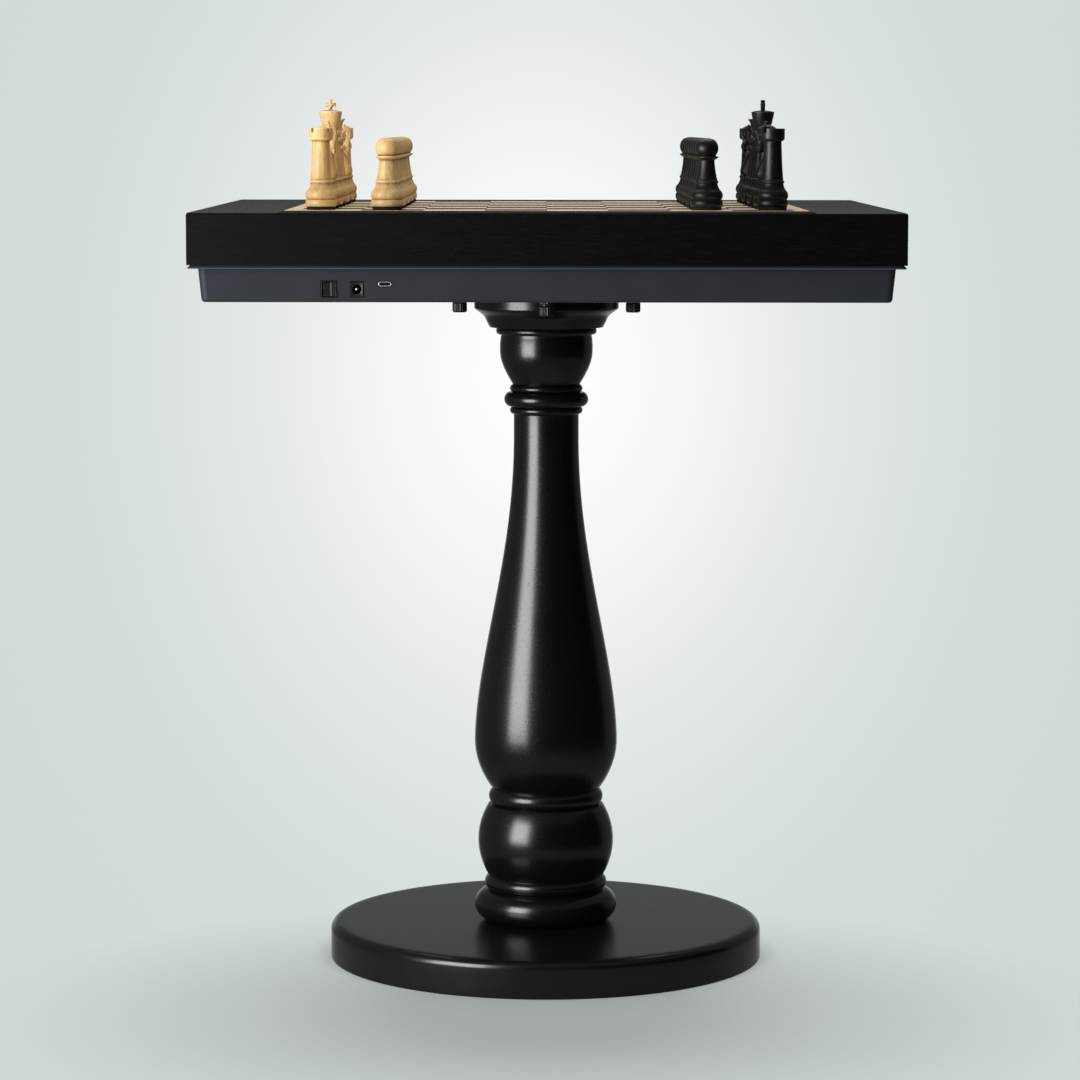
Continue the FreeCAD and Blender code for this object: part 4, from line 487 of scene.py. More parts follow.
def tile_grain(tree, place, square):
    """Place for the grain of a square field, where each tile takes its own stretch of veneer, and its tone."""
    cell = add(tree, "VectorMath", {0: place, 1: (square, square, 1.0)}, operation="DIVIDE").outputs[0]
    index = add(tree, "VectorMath", {0: cell}, operation="FLOOR").outputs[0]
    flat = stretch(tree, index, (1, 1, 0))
    random = add(tree, "TexWhiteNoise", {"Vector": flat}, noise_dimensions="3D")
    shift = add(tree, "VectorMath", {0: random.outputs["Color"], "Scale": 3.0}, operation="SCALE").outputs[0]
    moved = add(tree, "VectorMath", {0: place, 1: shift}, operation="ADD").outputs[0]
    return moved, random.outputs["Value"]


def veneer_square(name, dark, light, pore, roughness, specular):
    """Veneer squares with their own tone, under a satin finish."""
    material, tree, shader = new_material(name, light, roughness, specular=specular)
    place, tone = tile_grain(tree, object_place(tree), SQUARE)
    grain = use_group(tree, TIMBER, {"Place": place, "Band Width": 0.005, "Pore Width": 0.0006})
    share = calc(tree, "MULTIPLY_ADD", tone, 0.5, calc(tree, "MULTIPLY", grain["Band"], 0.5))
    body = blend(tree, share, dark, light)
    body = blend(tree, calc(tree, "MULTIPLY", grain["Fibre"], 0.25), body, dark)
    body = blend(tree, calc(tree, "MULTIPLY", grain["Pore"], 0.55), body, pore)
    feed(tree, shader, body, calc(tree, "MULTIPLY_ADD", grain["Fibre"], 0.1, roughness - 0.05))
    bump(tree, shader, grain["Height"], 0.00004, 0.5)
    return material


def turned_wood(name, dark, light, hollow_dark, rub, roughness, specular):
    """Upright grain in a turned chessman, darker in its hollows and paler on its rubbed crests."""
    material, tree, shader = new_material(name, light, roughness, specular=specular)
    turn = add(tree, "Mapping", {"Vector": object_place(tree), "Rotation": (0, math.radians(90), 0)})
    grain = use_group(tree, TIMBER, {"Place": turn.outputs[0], "Band Width": 0.0028, "Pore Width": 0.00042})
    body = blend(tree, grain["Band"], light, dark)
    body = blend(tree, calc(tree, "MULTIPLY", grain["Fibre"], 0.35), body, dark)
    hand = use_group(tree, HANDLING, {"Hollow": attribute(tree, "hollow")["Fac"], "Break Up": grain["Band"]})
    # darker in the hollows, from the attribute hollow
    body = blend(tree, hand["Hollow Dark"], body, hollow_dark)
    body = blend(tree, calc(tree, "MULTIPLY", hand["Rub"], 0.5), body, rub)
    body = blend(tree, calc(tree, "MULTIPLY", grain["Pore"], 0.4), body, hollow_dark)
    rough = calc(tree, "MULTIPLY_ADD", grain["Fibre"], 0.14, roughness - 0.07)
    feed(tree, shader, body, calc(tree, "MULTIPLY_ADD", hand["Hollow Dark"], 0.15, rough))
    bump(tree, shader, grain["Height"], 0.00005, 0.5)
    return material


SQUARE = 0.043           # side of one playing square, metres
FRAME_WOOD = dark_frame_wood()
DARK_SQUARE = veneer_square("dark_square_wood", (0.010, 0.0075, 0.006), (0.024, 0.017, 0.012),
                            (0.003, 0.002, 0.002), 0.5, 0.2)
LIGHT_SQUARE = veneer_square("light_square_wood", (0.68, 0.51, 0.31), (0.85, 0.71, 0.49),
                             (0.42, 0.27, 0.13), 0.5, 0.25)
BOXWOOD = turned_wood("light_boxwood", (0.57, 0.33, 0.108), (0.75, 0.53, 0.225),
                      (0.27, 0.108, 0.024), (0.82, 0.66, 0.39), 0.42, 0.5)
EBONISED = turned_wood("dark_ebonised_wood", (0.0028, 0.0023, 0.0021), (0.0070, 0.0056, 0.0049),
                       (0.0010, 0.0008, 0.0007), (0.022, 0.0175, 0.0145), 0.40, 0.42)
print("finishes with the timber:", len(bpy.data.materials))

# %% [markdown]
# ## Pedestal
# Base, column and flange are three turned parts on one tie rod. Each could be a Spin or a Screw
# modifier on a drawn curve. A traced profile turned in numpy keeps the drawing in the script: a bead
# is an arc over its crest, and the vase is a sine swell up to the belly and a cosine fall to the neck.

# %% Column
ROD_BORE = 5.3
RING_GROOVE = 3.0
COLUMN_FOOT = 27.5
VASE_FOOT, VASE_BELLY, VASE_NECK = 39.7, 53.0, 24.0
VASE_BELLY_HEIGHT, VASE_NECK_HEIGHT, VASE_HEIGHT = 36.5, 263.5, 279.5
VASE_BEND = 0.85
CUP_FOOT, CUP_BELLY, CUP_LIP = 24.8, 34.3, 33.4
CUP_BELLY_HEIGHT, CUP_HEIGHT = 25.0, 37.0
BALL_RADIUS, BALL_HEIGHT = 50.4, 53.4
BALL_ROOT = math.sqrt(BALL_RADIUS ** 2 - (BALL_HEIGHT / 2) ** 2)
# From the seat up: root, crest and height of each bead, with the vase and the cup between them
COLUMN_STACK = [(43.0, 53.0, 23.2), (45.5 - RING_GROOVE, 45.5, 10.3), (BALL_ROOT, BALL_RADIUS, BALL_HEIGHT),
                (42.5 - RING_GROOVE, 42.5, 12.1), "vase", (26.9 - RING_GROOVE, 26.9, 5.9),
                (31.1 - RING_GROOVE, 31.1, 10.2), (26.9 - RING_GROOVE, 26.9, 5.9), "cup",
                (37.2 - RING_GROOVE / 2, 37.2, 5.3)]


def bead(root, crest, low, tall):
    """Two steps of a profile: in to the root, then an arc over the crest back to the root."""
    return [(root, low), ((crest, low + tall / 2), (root, low + tall))]


def vase_line(low):
    """Sine swell from foot to belly, cosine fall from belly to neck, then a straight neck."""
    share = np.linspace(0, 1, 90)
    swell = VASE_FOOT + (VASE_BELLY - VASE_FOOT) * np.sin(np.pi / 2 * share ** VASE_BEND)
    fall = VASE_NECK + (VASE_BELLY - VASE_NECK) * (1 + np.cos(np.pi * share ** VASE_BEND)) / 2
    lower = np.stack([swell, low + VASE_BELLY_HEIGHT * share], -1)
    upper = np.stack([fall, low + VASE_BELLY_HEIGHT + (VASE_NECK_HEIGHT - VASE_BELLY_HEIGHT) * share], -1)
    return np.concatenate([lower, upper[1:], [[VASE_NECK, low + VASE_HEIGHT]]])


def cup_line(low):
    """Sine swell from the cup's foot to its belly, then a short turn in to its lip."""
    share = np.linspace(0, 1, 40)
    swell = CUP_FOOT + (CUP_BELLY - CUP_FOOT) * np.sin(np.pi / 2 * share)
    lower = np.stack([swell, low + CUP_BELLY_HEIGHT * share], -1)
    turn_in = arc_points(lower[-1], (CUP_BELLY - 0.1, low + 31), (CUP_LIP, low + CUP_HEIGHT))
    return np.concatenate([lower, turn_in[1:]])


def column_line():
    """The whole post from its seat up, and down again through the bore of the tie rod."""
    steps = [(ROD_BORE, COLUMN_FOOT)]
    height = COLUMN_FOOT
    for member in COLUMN_STACK:
        if member == "vase":
            steps.append(vase_line(height))
            height += VASE_HEIGHT
        elif member == "cup":
            steps.append(cup_line(height))
            height += CUP_HEIGHT
        else:
            root, crest, tall = member
            steps += bead(root, crest, height, tall)
            height += tall
    steps += [(ROD_BORE, height), (ROD_BORE, COLUMN_FOOT)]
    return trace(steps), height


line, column_top = column_line()
line = spread_by_bend(soften(line, 1.1, 0.12), 330)
column = new_object("turned_column", *turn_profile(line, 208), sharp_degrees=50)
dress(column, "table", LACQUER, "column")
print("column top", column_top, "faces", len(column.data.polygons))

# %% [markdown]
# ## Base and flange
# Both are turned like the column. The base is a plain disc with a well rounded upper edge, and the
# flange swells out in an ogee, a curve that is hollow first and round after. Their profiles close on
# themselves round the bore, so the meshes are closed too.

# %% Base and flange
BASE_RADIUS, BASE_THICKNESS, BASE_ROUND = 160.5, 27.5, 6.5
RECESS_RADIUS, RECESS_DEPTH = 14.0, 14.0
FLANGE_NECK, FLANGE_RADIUS = 42.0, 53.4
OGEE_HEIGHT, FLANGE_HEIGHT = 14.7, 24.1
OGEE_UP = (0, 0.24, 0.44, 0.64, 0.84, 1)
OGEE_OUT = (0, 0.16, 0.27, 0.47, 0.83, 1)
FOOT_CHAMFER = 0.8


def base_line():
    """Closed profile of the base: recess for the nut, flat foot, upright side, rounded edge, top."""
    slope = BASE_ROUND * (1 - math.sqrt(0.5))
    shoulder = (BASE_RADIUS - slope, BASE_THICKNESS - slope)
    steps = [(ROD_BORE, BASE_THICKNESS), (ROD_BORE, RECESS_DEPTH), (RECESS_RADIUS, RECESS_DEPTH)]
    steps += [(RECESS_RADIUS, 0), (BASE_RADIUS - FOOT_CHAMFER, 0), (BASE_RADIUS, FOOT_CHAMFER)]
    steps.append((BASE_RADIUS, BASE_THICKNESS - BASE_ROUND))
    steps.append((shoulder, (BASE_RADIUS - BASE_ROUND, BASE_THICKNESS)))
    return trace(steps + [(ROD_BORE, BASE_THICKNESS)])


def flange_line(low):
    """Closed profile of the flange: a curve of the fifth degree through the ogee's points, then its rim."""
    top = low + FLANGE_HEIGHT
    up = np.linspace(0, 1, 60)
    out = np.polyval(np.polyfit(OGEE_UP, OGEE_OUT, 5), up)
    ogee = np.stack([FLANGE_NECK + (FLANGE_RADIUS - FLANGE_NECK) * out, low + OGEE_HEIGHT * up], -1)
    steps = [(ROD_BORE, low), ogee, (FLANGE_RADIUS, top), (RECESS_RADIUS, top)]
    steps += [(RECESS_RADIUS, top - RECESS_DEPTH), (ROD_BORE, top - RECESS_DEPTH), (ROD_BORE, low)]
    return trace(steps)


base = new_object("turned_base", *turn_profile(spread_by_bend(soften(base_line(), 0.8, 0.1), 110), 320))
dress(base, "table", BASE_LACQUER, "base_disc")
line = spread_by_bend(soften(flange_line(column_top), 0.7, 0.08), 110)
flange = new_object("turned_flange", *turn_profile(line, 224))
dress(flange, "table", LACQUER, "top_flange")
print("base faces", len(base.data.polygons), "flange faces", len(flange.data.polygons))

# %% [markdown]
# ## Thumbscrews
# Four small knobs hold the box on the plate. Their grip is a row of upright flutes. A gear-shaped
# outline could be extruded, but then its ends would be knife sharp. Here the radius is the turned
# profile less a cosine wave of the angle, and the wave fades out where the profile is thin, so the
# flutes run out into the chamfers as they do on a real knob.

# %% Fluted thumbscrews
FLUTES, FLUTE_DEPTH = 18, 0.45
FLUTE_START, FLUTE_FULL = 4.5, 4.85
SCREW_CIRCLE = 64.0
KNOB_FOOT, KNOB_TOP = 481.0, 494.4
KNOB_SHANK = 2.5
KNOB_STEPS = [(0, KNOB_FOOT), (4.5, KNOB_FOOT), (5.4, 481.9), (5.4, 487.7), (4.8, 488.5), (4.3, 488.5), (4.3, 489.7),
              (4.8, 489.7), (5.0, 490.0), (5.0, 493.9), (4.5, KNOB_TOP), (KNOB_SHANK, KNOB_TOP)]


def fluted_knob(x, y, top):
    """Turned profile less FLUTE_DEPTH (1 - cos(FLUTES angle)) / 2 where the radius is large enough."""
    line = trace(KNOB_STEPS + [(KNOB_SHANK, top - 0.6), (KNOB_SHANK - 0.6, top), (0, top)])
    line = spread_by_bend(soften(line, 0.3, 0.03), 84, 8.0)
    angle = ring_angles(FLUTES * 8)
    radius = line[:, 0, None]
    share = np.clip((radius - FLUTE_START) / (FLUTE_FULL - FLUTE_START), 0, 1)
    radius = radius - FLUTE_DEPTH * share * (1 - np.cos(FLUTES * angle)) / 2
    points = cloud(x + radius * np.cos(angle), y + radius * np.sin(angle), line[:, 1, None])
    return points * MM, grid_faces(*radius.shape)


shank_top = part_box("thumbscrews")[1][2] / MM
quarters = np.arange(4) * math.pi / 2
knobs = [fluted_knob(SCREW_CIRCLE * math.cos(a), SCREW_CIRCLE * math.sin(a), shank_top) for a in quarters]
knobs = new_object("fluted_thumbscrews", *join_parts(knobs), sharp_degrees=60)
dress(knobs, "table", BLACK_STEEL, "thumbscrews")
print("thumbscrew faces", len(knobs.data.polygons))

# %% [markdown]
# ## Tray and plate
# The tray is a moulded shell whose solid already has its draft, lip and rounded foot. Modelling it
# again would gain nothing, so a copy of its mesh is merged, its edges are split by angle, and weighted
# normals keep the flat walls flat right up to the round edges.

# %% Merged copies
def merged_copy(name, node, sharp_degrees=32.0):
    """A copy of a node's mesh with its loose triangles joined and normals weighted by face area."""
    source = nodes[node].data
    corners = read(source.loops, "vertex_index", 1, np.int32)
    piece = new_object(name, read(source.vertices, "co"), corners.reshape(-1, 3), sharp_degrees, 2e-6)
    piece.modifiers.new("weighted_normals", "WEIGHTED_NORMAL").keep_sharp = True
    return piece


tray = dress(merged_copy("moulded_tray", "lower_tray"), "table", TRAY_PLASTIC, "lower_tray")
plate = merged_copy("clamp_plate", "mounting_plate")
dress(plate, "table", BLACK_STEEL, "mounting_plate")
print("tray faces", len(tray.data.polygons), "plate faces", len(plate.data.polygons))

# %% [markdown]
# ## Switch, jack and port
# Three small fittings look out of the tray's front wall. Each is a stack of rounded rectangles that
# goes round its rim and down into its well. A circle is a rounded rectangle whose corners are as large
# as its sides, so the same function makes the round bore in the square face of the jack. A narrow
# groove round the switch and round the jack keeps a dark line between them and the tray.

# %% Fittings in the front wall
FITTING_FRONT, FITTING_Z = -236.26, 507.4
SWITCH_X, JACK_X = -148.0, -129.0
USB_X, USB_Z = -110.0, 511.0


def stacked_loops(x, front, z, rows, count=9):
    """Rounded rectangles of (half width, half height, corner, depth) joined row by row, both ends capped."""
    half_x, half_z, corner, depth = (np.array(rows, float)[:, k, None] for k in range(4))
    quarter = np.linspace(0, math.pi / 2, count)
    angle = np.concatenate([quarter + k * math.pi / 2 for k in range(4)])
    side_x = np.repeat([1, -1, -1, 1], count)
    side_z = np.repeat([1, 1, -1, -1], count)
    px = x + side_x * (half_x - corner) + corner * np.cos(angle)
    pz = z + side_z * (half_z - corner) + corner * np.sin(angle)
    return cloud(px, front + depth, pz) * MM, capped_faces(*px.shape)


# A groove and a rounded rim: how far in from the outline, the corner's radius and the depth
RIM = [(0, 0.5, 1.7), (0.05, 0.5, 1.6), (0.54, 0.4, 1.6), (0.58, 0.4, 1.5), (0.58, 0.4, 0.2), (0.64, 0.4, 0.05),
       (0.74, 0.4, 0), (0.86, 0.4, 0), (0.96, 0.35, 0.08), (1.0, 0.35, 0.3)]


def rimmed(half_x, half_z, depth, well):
    """Rows of a fitting that reaches depth behind the wall: its sides, the groove, the rim and then its well."""
    rim = [(half_x - inset, half_z - inset, corner, down) for inset, corner, down in RIM]
    return [(half_x, half_z, 0.5, depth)] + rim + well


def round_rows(rows, straight=0.0):
    """Rows of a round pin or bore from (radius, depth). straight is half the flat part of a slot."""
    return [(radius + straight, radius, radius, depth) for radius, depth in rows]


SWITCH_ROWS = rimmed(5.7, 6.1, 15, [(4.7, 5.1, 0.35, 7)])
JACK_BORE = round_rows([(3.3, 0.6), (3.2, 0.7), (3.1, 0.9), (3.1, 9.5)])
JACK_ROWS = rimmed(4.7, 5.7, 14, [(3.68, 4.68, 0.35, 0.55), (3.5, 4.5, 0.35, 0.6)] + JACK_BORE)
JACK_PIN_ROWS = round_rows([(1.05, 9.5), (1.05, 1.4), (0.95, 1.0), (0.7, 0.84), (0.3, 0.8)])
USB_ROWS = round_rows([(1.63, 10.5), (1.63, 0.3), (1.58, 0.12), (1.48, 0.02), (1.38, 0), (1.26, 0), (1.16, 0.03),
                       (1.08, 0.12), (1.04, 0.35), (1.04, 10.15)], straight=2.84)
TONGUE_ROWS = [(3.35, 0.35, 0.12, 10.15), (3.35, 0.35, 0.12, 0.8), (3.28, 0.28, 0.1, 0.62), (3.1, 0.15, 0.05, 0.6)]
usb_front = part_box("usb_c_port")[0][1] / MM
FITTINGS = [("switch_housing", SWITCH_X, FITTING_FRONT, FITTING_Z, SWITCH_ROWS, BLACK_PLASTIC, "black_plastic",
             "power_switch_housing"),
            ("jack_body", JACK_X, FITTING_FRONT, FITTING_Z, JACK_ROWS, BLACK_PLASTIC, "black_plastic",
             "dc_power_jack"),
            ("jack_pin", JACK_X, FITTING_FRONT, FITTING_Z, JACK_PIN_ROWS, BRIGHT_STEEL, "port_metal", None),
            ("usb_shell", USB_X, usb_front, USB_Z, USB_ROWS, PORT_METAL, "port_metal", "usb_c_port"),
            ("usb_tongue", USB_X, usb_front, USB_Z, TONGUE_ROWS, BLACK_PLASTIC, "black_plastic", None)]
for name, x, front, z, rows, material, slot, node in FITTINGS:
    fitting = new_object(name, *stacked_loops(x, front, z, rows), sharp_degrees=50)
    dress(fitting, "table", material, node)
print("fittings", [entry[0] for entry in FITTINGS])

# %% [markdown]
# ## Rocker
# The rocker's face is a shallow valley, so one half lies flush when the other is pressed. Its outline
# seen from above is carried upwards in a few steps, and the end steps are drawn in, which rounds the
# upper and lower edges. A raised line on one half catches the light and tells the fingertip the side.

# %% Rocker of the switch
ROCKER_PIVOT_Y = -233.261
ROCKER_HALF, ROCKER_FACE, ROCKER_BACK = 4.0, 3.0, 2.0
ROCKER_TILT = math.radians(9.0)
ROCKER_TALL = 9.5
ROCKER_RIB, RIB_WIDE, RIB_HIGH = 1.3, 0.8, 0.45                          # a raised line for the fingertip
ROCKER_ENDS = [(0.5, 0.0), (0.22, 0.08), (0.07, 0.22), (0.0, 0.5)]       # inset and distance from the end


def rocker_mesh():
    """A valley-faced outline with a rib, carried upwards, drawn in at both ends, then tilted about its pivot."""
    tip = ROCKER_FACE + ROCKER_HALF * math.tan(ROCKER_TILT)
    rib = ROCKER_FACE + ROCKER_RIB * math.tan(ROCKER_TILT)
    steps = [(0.0, ROCKER_FACE), (ROCKER_RIB - RIB_WIDE / 2, rib), (ROCKER_RIB, rib + RIB_HIGH)]
    steps += [(ROCKER_RIB + RIB_WIDE / 2, rib), (ROCKER_HALF, tip), (ROCKER_HALF, 0.0)]
    steps += [((0.0, -ROCKER_BACK), (-ROCKER_HALF, 0.0)), (-ROCKER_HALF, tip), (0.0, ROCKER_FACE)]
    outline = spread_by_bend(soften(trace(steps), 0.3, 0.03), 121, 4.0)[:-1]
    ends = np.array(ROCKER_ENDS)
    inset = np.concatenate([ends[:, 0], ends[::-1, 0]])[:, None]
    height = np.concatenate([ends[:, 1], ROCKER_TALL - ends[::-1, 1]])[:, None] - ROCKER_TALL / 2
    u = outline[None, :, 0] * (1 - inset / ROCKER_HALF)
    v = (outline[None, :, 1] - 1.0) * (1 - inset / ROCKER_HALF) + 1.0
    x = SWITCH_X + u * math.cos(ROCKER_TILT) + v * math.sin(ROCKER_TILT)
    y = ROCKER_PIVOT_Y + u * math.sin(ROCKER_TILT) - v * math.cos(ROCKER_TILT)
    return cloud(x, y, FITTING_Z + height) * MM, capped_faces(*x.shape)


rocker = new_object("rocker_button", *rocker_mesh(), sharp_degrees=50)
dress(rocker, "power_rocker", ROCKER_PLASTIC, "power_rocker")
print("rocker faces", len(rocker.data.polygons))

# %% [markdown]
# ## Frame
# Four mitred rails stand round the field. Each rail is its section carried along one side, and its
# columns are cut off where they meet the mitre. The grain of a rail runs along it, but the top margins
# left and right are laid through from front to back, so each face corner is given its own place in the
# timber: its first number runs along the grain.

# %% Mitred rails
RAIL_INNER, PANEL_EDGE, RAIL_WALL, RAIL_OUTER = 174.0, 182.0, 232.0, 244.0
RAIL_FOOT, LEDGE_BOTTOM, REBATE, BOARD_TOP = 523.9, 551.4, 553.8, 559.4
RAIL_ROUND = 1.7
MITRE_GAP = 0.03


def rail_mesh(quarter):
    """Section (out, height) carried along x, where x is a column held short of the mitre, then turned."""
    steps = [(RAIL_INNER, LEDGE_BOTTOM), (RAIL_WALL, LEDGE_BOTTOM), (RAIL_WALL, RAIL_FOOT), (RAIL_OUTER, RAIL_FOOT)]
    slope = RAIL_ROUND * (1 - math.sqrt(0.5))
    steps.append((RAIL_OUTER, BOARD_TOP - RAIL_ROUND))
    steps.append(((RAIL_OUTER - slope, BOARD_TOP - slope), (RAIL_OUTER - RAIL_ROUND, BOARD_TOP)))
    steps += [(PANEL_EDGE, BOARD_TOP), (PANEL_EDGE, REBATE), (RAIL_INNER, REBATE), (RAIL_INNER, LEDGE_BOTTOM)]
    line = spread_by_bend(soften(trace(steps), 0.4, 0.04), 91, 8.0)[:-1]
    columns = np.array([-RAIL_OUTER, -PANEL_EDGE, PANEL_EDGE, RAIL_OUTER])
    out, height = line[:, 0, None], line[:, 1, None]
    x = np.clip(columns[None, :], MITRE_GAP - out, out - MITRE_GAP)
    ahead, side = math.cos(quarter * math.pi / 2), math.sin(quarter * math.pi / 2)
    points = cloud(x * ahead + out * side, x * side - out * ahead, height)
    faces = grid_faces(*x.shape, wrap_rows=True, wrap_columns=False).tolist()
    rows = np.arange(len(line)) * len(columns)
    faces += [rows.tolist(), (rows + len(columns) - 1).tolist()]
    return points * MM, faces


def lay_grain(mesh):
    """Give each face corner its place in the timber, along, across and deep, and mark the open margins."""
    place = read(mesh.vertices, "co")[read(mesh.loops, "vertex_index", 1, np.int32)]
    counts = read(mesh.polygons, "loop_total", 1, np.int32)
    centre, normal = read(mesh.polygons, "center"), read(mesh.polygons, "normal")
    on_side_rail = np.abs(centre[:, 0]) > np.abs(centre[:, 1])
    faces_up = normal[:, 2] > 0.7
    side_margin = faces_up & (np.abs(centre[:, 0]) > PANEL_EDGE * MM)
    along_y = np.repeat(on_side_rail | side_margin, counts)[:, None]
    shift = np.repeat(np.sign(centre[:, 0]) * 0.31 + np.sign(centre[:, 1]) * 0.57, counts)[:, None]
    grain = np.where(along_y, place[:, [1, 0, 2]], place) + shift
    mesh.attributes.new("grain", "FLOAT_VECTOR", "CORNER").data.foreach_set("vector", grain.ravel())
    opened = np.repeat(faces_up & ~side_margin, counts).astype(np.float32)
    mesh.attributes.new("open_grain", "FLOAT", "CORNER").data.foreach_set("value", opened)


rails = new_object("mitred_frame", *join_parts([rail_mesh(quarter) for quarter in range(4)]))
lay_grain(rails.data)
dress(rails, "table", FRAME_WOOD, "frame_rails")
print("frame faces", len(rails.data.polygons))

# %% [markdown]
# ## Chessmen on the lathe
# Five of the six kinds are turned: felt, plinth, bulge, cove, ring, a hollow stem and a head. A Screw
# modifier would do, but the heads are cut afterwards, so each man is a grid of points that can still be
# pressed in. The profile also says how hollow each place is: its mean radius over a few millimetres
# less its radius. The finish reads that number and makes the coves darker and a rubbed crest paler.

# %% Profiles of the turned men
FELT_TOP, PLINTH_TOP, STEM_FOOT = 2.4, 7.3, 20.8
# Radius of the plinth and of the stem's foot, and the height of the turned part
PAWN_BASE, PAWN_STEM, PAWN_TOP = 11.5, 7.6, 50.1
ROOK_BASE, ROOK_STEM, ROOK_TOP = 11.0, 7.5, 56.8
BISHOP_BASE, BISHOP_STEM, BISHOP_TOP = 11.2, 7.1, 62.0
QUEEN_BASE, QUEEN_STEM, QUEEN_TOP = 11.5, 7.3, 67.2
KING_BASE, KING_STEM, KING_TOP = 11.5, 7.5, 69.9
KNIGHT_BASE, KNIGHT_STEM = 11.2, 7.4
PAWN_CAP, KING_CAP = (5.4, 48.9), (8.4, 68.7)           # where the rounded top starts: radius and height
ROOK_RIM, ROOK_WELL, ROOK_FLOOR = 8.3, 5.6, 53.8
QUEEN_RIM, QUEEN_POINTS = 7.0, 9


def foot(base, low):
    """Steps from the axis under the felt: plinth, groove, bulge, cove and ring, up to the stem."""
    edge, rim = base - 0.7, (base + low) / 2
    steps = [(0, 0), (edge - 0.3, 0), (edge - 0.3, FELT_TOP), (edge, FELT_TOP)]
    steps += [((base, 4.8), (edge, PLINTH_TOP)), (base - 1.0, PLINTH_TOP), ((base, 10.4), (rim, 14.0))]
    return steps + [(((low + rim) / 2 - 0.3, 16.4), (low + 0.1, 18.6)), ((low + 0.75, 19.7), (low, STEM_FOOT))]


def stem(low, waist, top):
    """A hollow curve from the ring up to the waist at height top."""
    return ((waist + (low - waist) * 0.35, (STEM_FOOT + top) / 2), (waist, top))


def collared(base, low, waist, top):
    """Foot, stem, a beaded collar and a short neck, up to height top."""
    bead_top = top - 1.6
    steps = foot(base, low) + [stem(low, waist, bead_top - 2.6)]
    return steps + [((waist + 2.6, bead_top - 1.3), (waist, bead_top)), (waist, top)]


def cap(radius, low, top):
    """A spherical cap from the given radius at height low up to the axis at height top."""
    rise = top - low
    sphere = (radius ** 2 + rise ** 2) / (2 * rise)
    half = math.atan2(radius, sphere - rise) / 2
    return ((sphere * math.sin(half), top - sphere + sphere * math.cos(half)), (0, top))


def ball(root, radius, top):
    """A ball on the axis that ends at height top and meets what is below it at radius root."""
    centre = top - radius
    return [(root, centre - math.sqrt(radius ** 2 - root ** 2)), ((radius, centre), (0, top))]


def lathe(steps, rows, segments):
    """Points (rows, segments, 3) in millimetres and the hollow of each: mean radius over 6 mm less radius."""
    drawn = trace(steps)
    line = soften(drawn, 0.5, 0.04)
    hollow = soften(drawn, 6.0, 0.04)[:, 0] - line[:, 0]
    line = spread_by_bend(np.column_stack([line, hollow]), rows, 3.0)
    angle = ring_angles(segments)
    radius, height = line[:, 0, None], line[:, 1, None]
    points = [radius * np.cos(angle), radius * np.sin(angle), np.broadcast_to(height, (rows, segments))]
    return np.stack(points, -1), np.repeat(line[:, 2], segments)


# %% [markdown]
# ## Cutting the heads
# A rook is sawn across twice, a bishop gets one slanting saw cut and a queen a ring of gouge cuts. A
# Boolean would leave long thin faces. Here every point above the cut is pressed down onto its floor:
# the new height is the lesser of the old one and the height of the cut at that place.

# %% Cuts
def smooth_step(value, low, high):
    """0 up to low, 1 from high on, and 3 s^2 - 2 s^3 between them."""
    share = np.clip((value - low) / (high - low), 0, 1)
    return share * share * (3 - 2 * share)


def saw_notches(points, floor, top, half, turns):
    """Lower the rim to the floor within half of lines through the axis: z = min(z, lid(distance))."""
    x, y, z = np.moveaxis(points, -1, 0)
    for turn in np.radians(turns):
        off = np.abs(y * np.cos(turn) - x * np.sin(turn))
        z = np.minimum(z, floor + (top - floor) * smooth_step(off, half - 0.12, half + 0.12))
    return np.stack([x, y, z], -1)


def gouge_rim(points, rim, inside, count, gouge, raised):
    """Round cuts across a rim: depth sqrt(gouge^2 - off^2) - raised at a distance off from each middle."""
    x, y, z = np.moveaxis(points, -1, 0)
    radius, share = np.hypot(x, y), 2 * math.pi / count
    off = radius * np.sin((np.arctan2(y, x) + share / 2) % share - share / 2)
    depth = np.sqrt(np.clip(gouge ** 2 - off ** 2, raised ** 2, None)) - raised
    lid = rim - depth * smooth_step(radius, inside - 0.3, inside + 0.3)
    return np.stack([x, y, np.where(radius > inside - 0.3, np.minimum(z, lid), z)], -1)


def slant_cut(points, start, height, half, slope):
    """A saw cut from (start, height) outwards and up: points within half of it move back to its floor."""
    x, y, z = np.moveaxis(points, -1, 0)
    ahead, up = math.cos(math.radians(slope)), math.sin(math.radians(slope))
    along = np.clip((x - start) * ahead + (z - height) * up, 0, None)
    across = np.abs((z - height) * ahead - (x - start) * up)
    pressed = along * (1 - smooth_step(across, half - 0.12, half + 0.12))
    return np.stack([x - pressed * ahead, y, z - pressed * up], -1)


def pawn():
    """A sharp collar under a ball with a flattened top."""
    steps = foot(PAWN_BASE, PAWN_STEM) + [stem(PAWN_STEM, 5.5, 34.7), (8.3, 36.6), (8.3, 37.2), (6.2, 37.9)]
    return lathe(steps + [((8.2, 43.4), PAWN_CAP), cap(*PAWN_CAP, PAWN_TOP)], 92, 80)


def rook():
    """A quarter round under a plain drum with a well, sawn across twice."""
    bowl = ((6.1 + 2.2 * math.sqrt(0.5), 50.2 - 2.2 * math.sqrt(0.5)), (ROOK_RIM, 50.2))
    steps = foot(ROOK_BASE, ROOK_STEM) + [stem(ROOK_STEM, 6.1, 48.0), bowl, (ROOK_RIM, ROOK_TOP)]
    steps += [(ROOK_WELL, ROOK_TOP), (ROOK_WELL, ROOK_FLOOR), (0, ROOK_FLOOR)]
    points, hollow = lathe(steps, 110, 192)
    return saw_notches(points, ROOK_FLOOR, ROOK_TOP, 1.2, (45, 135)), hollow


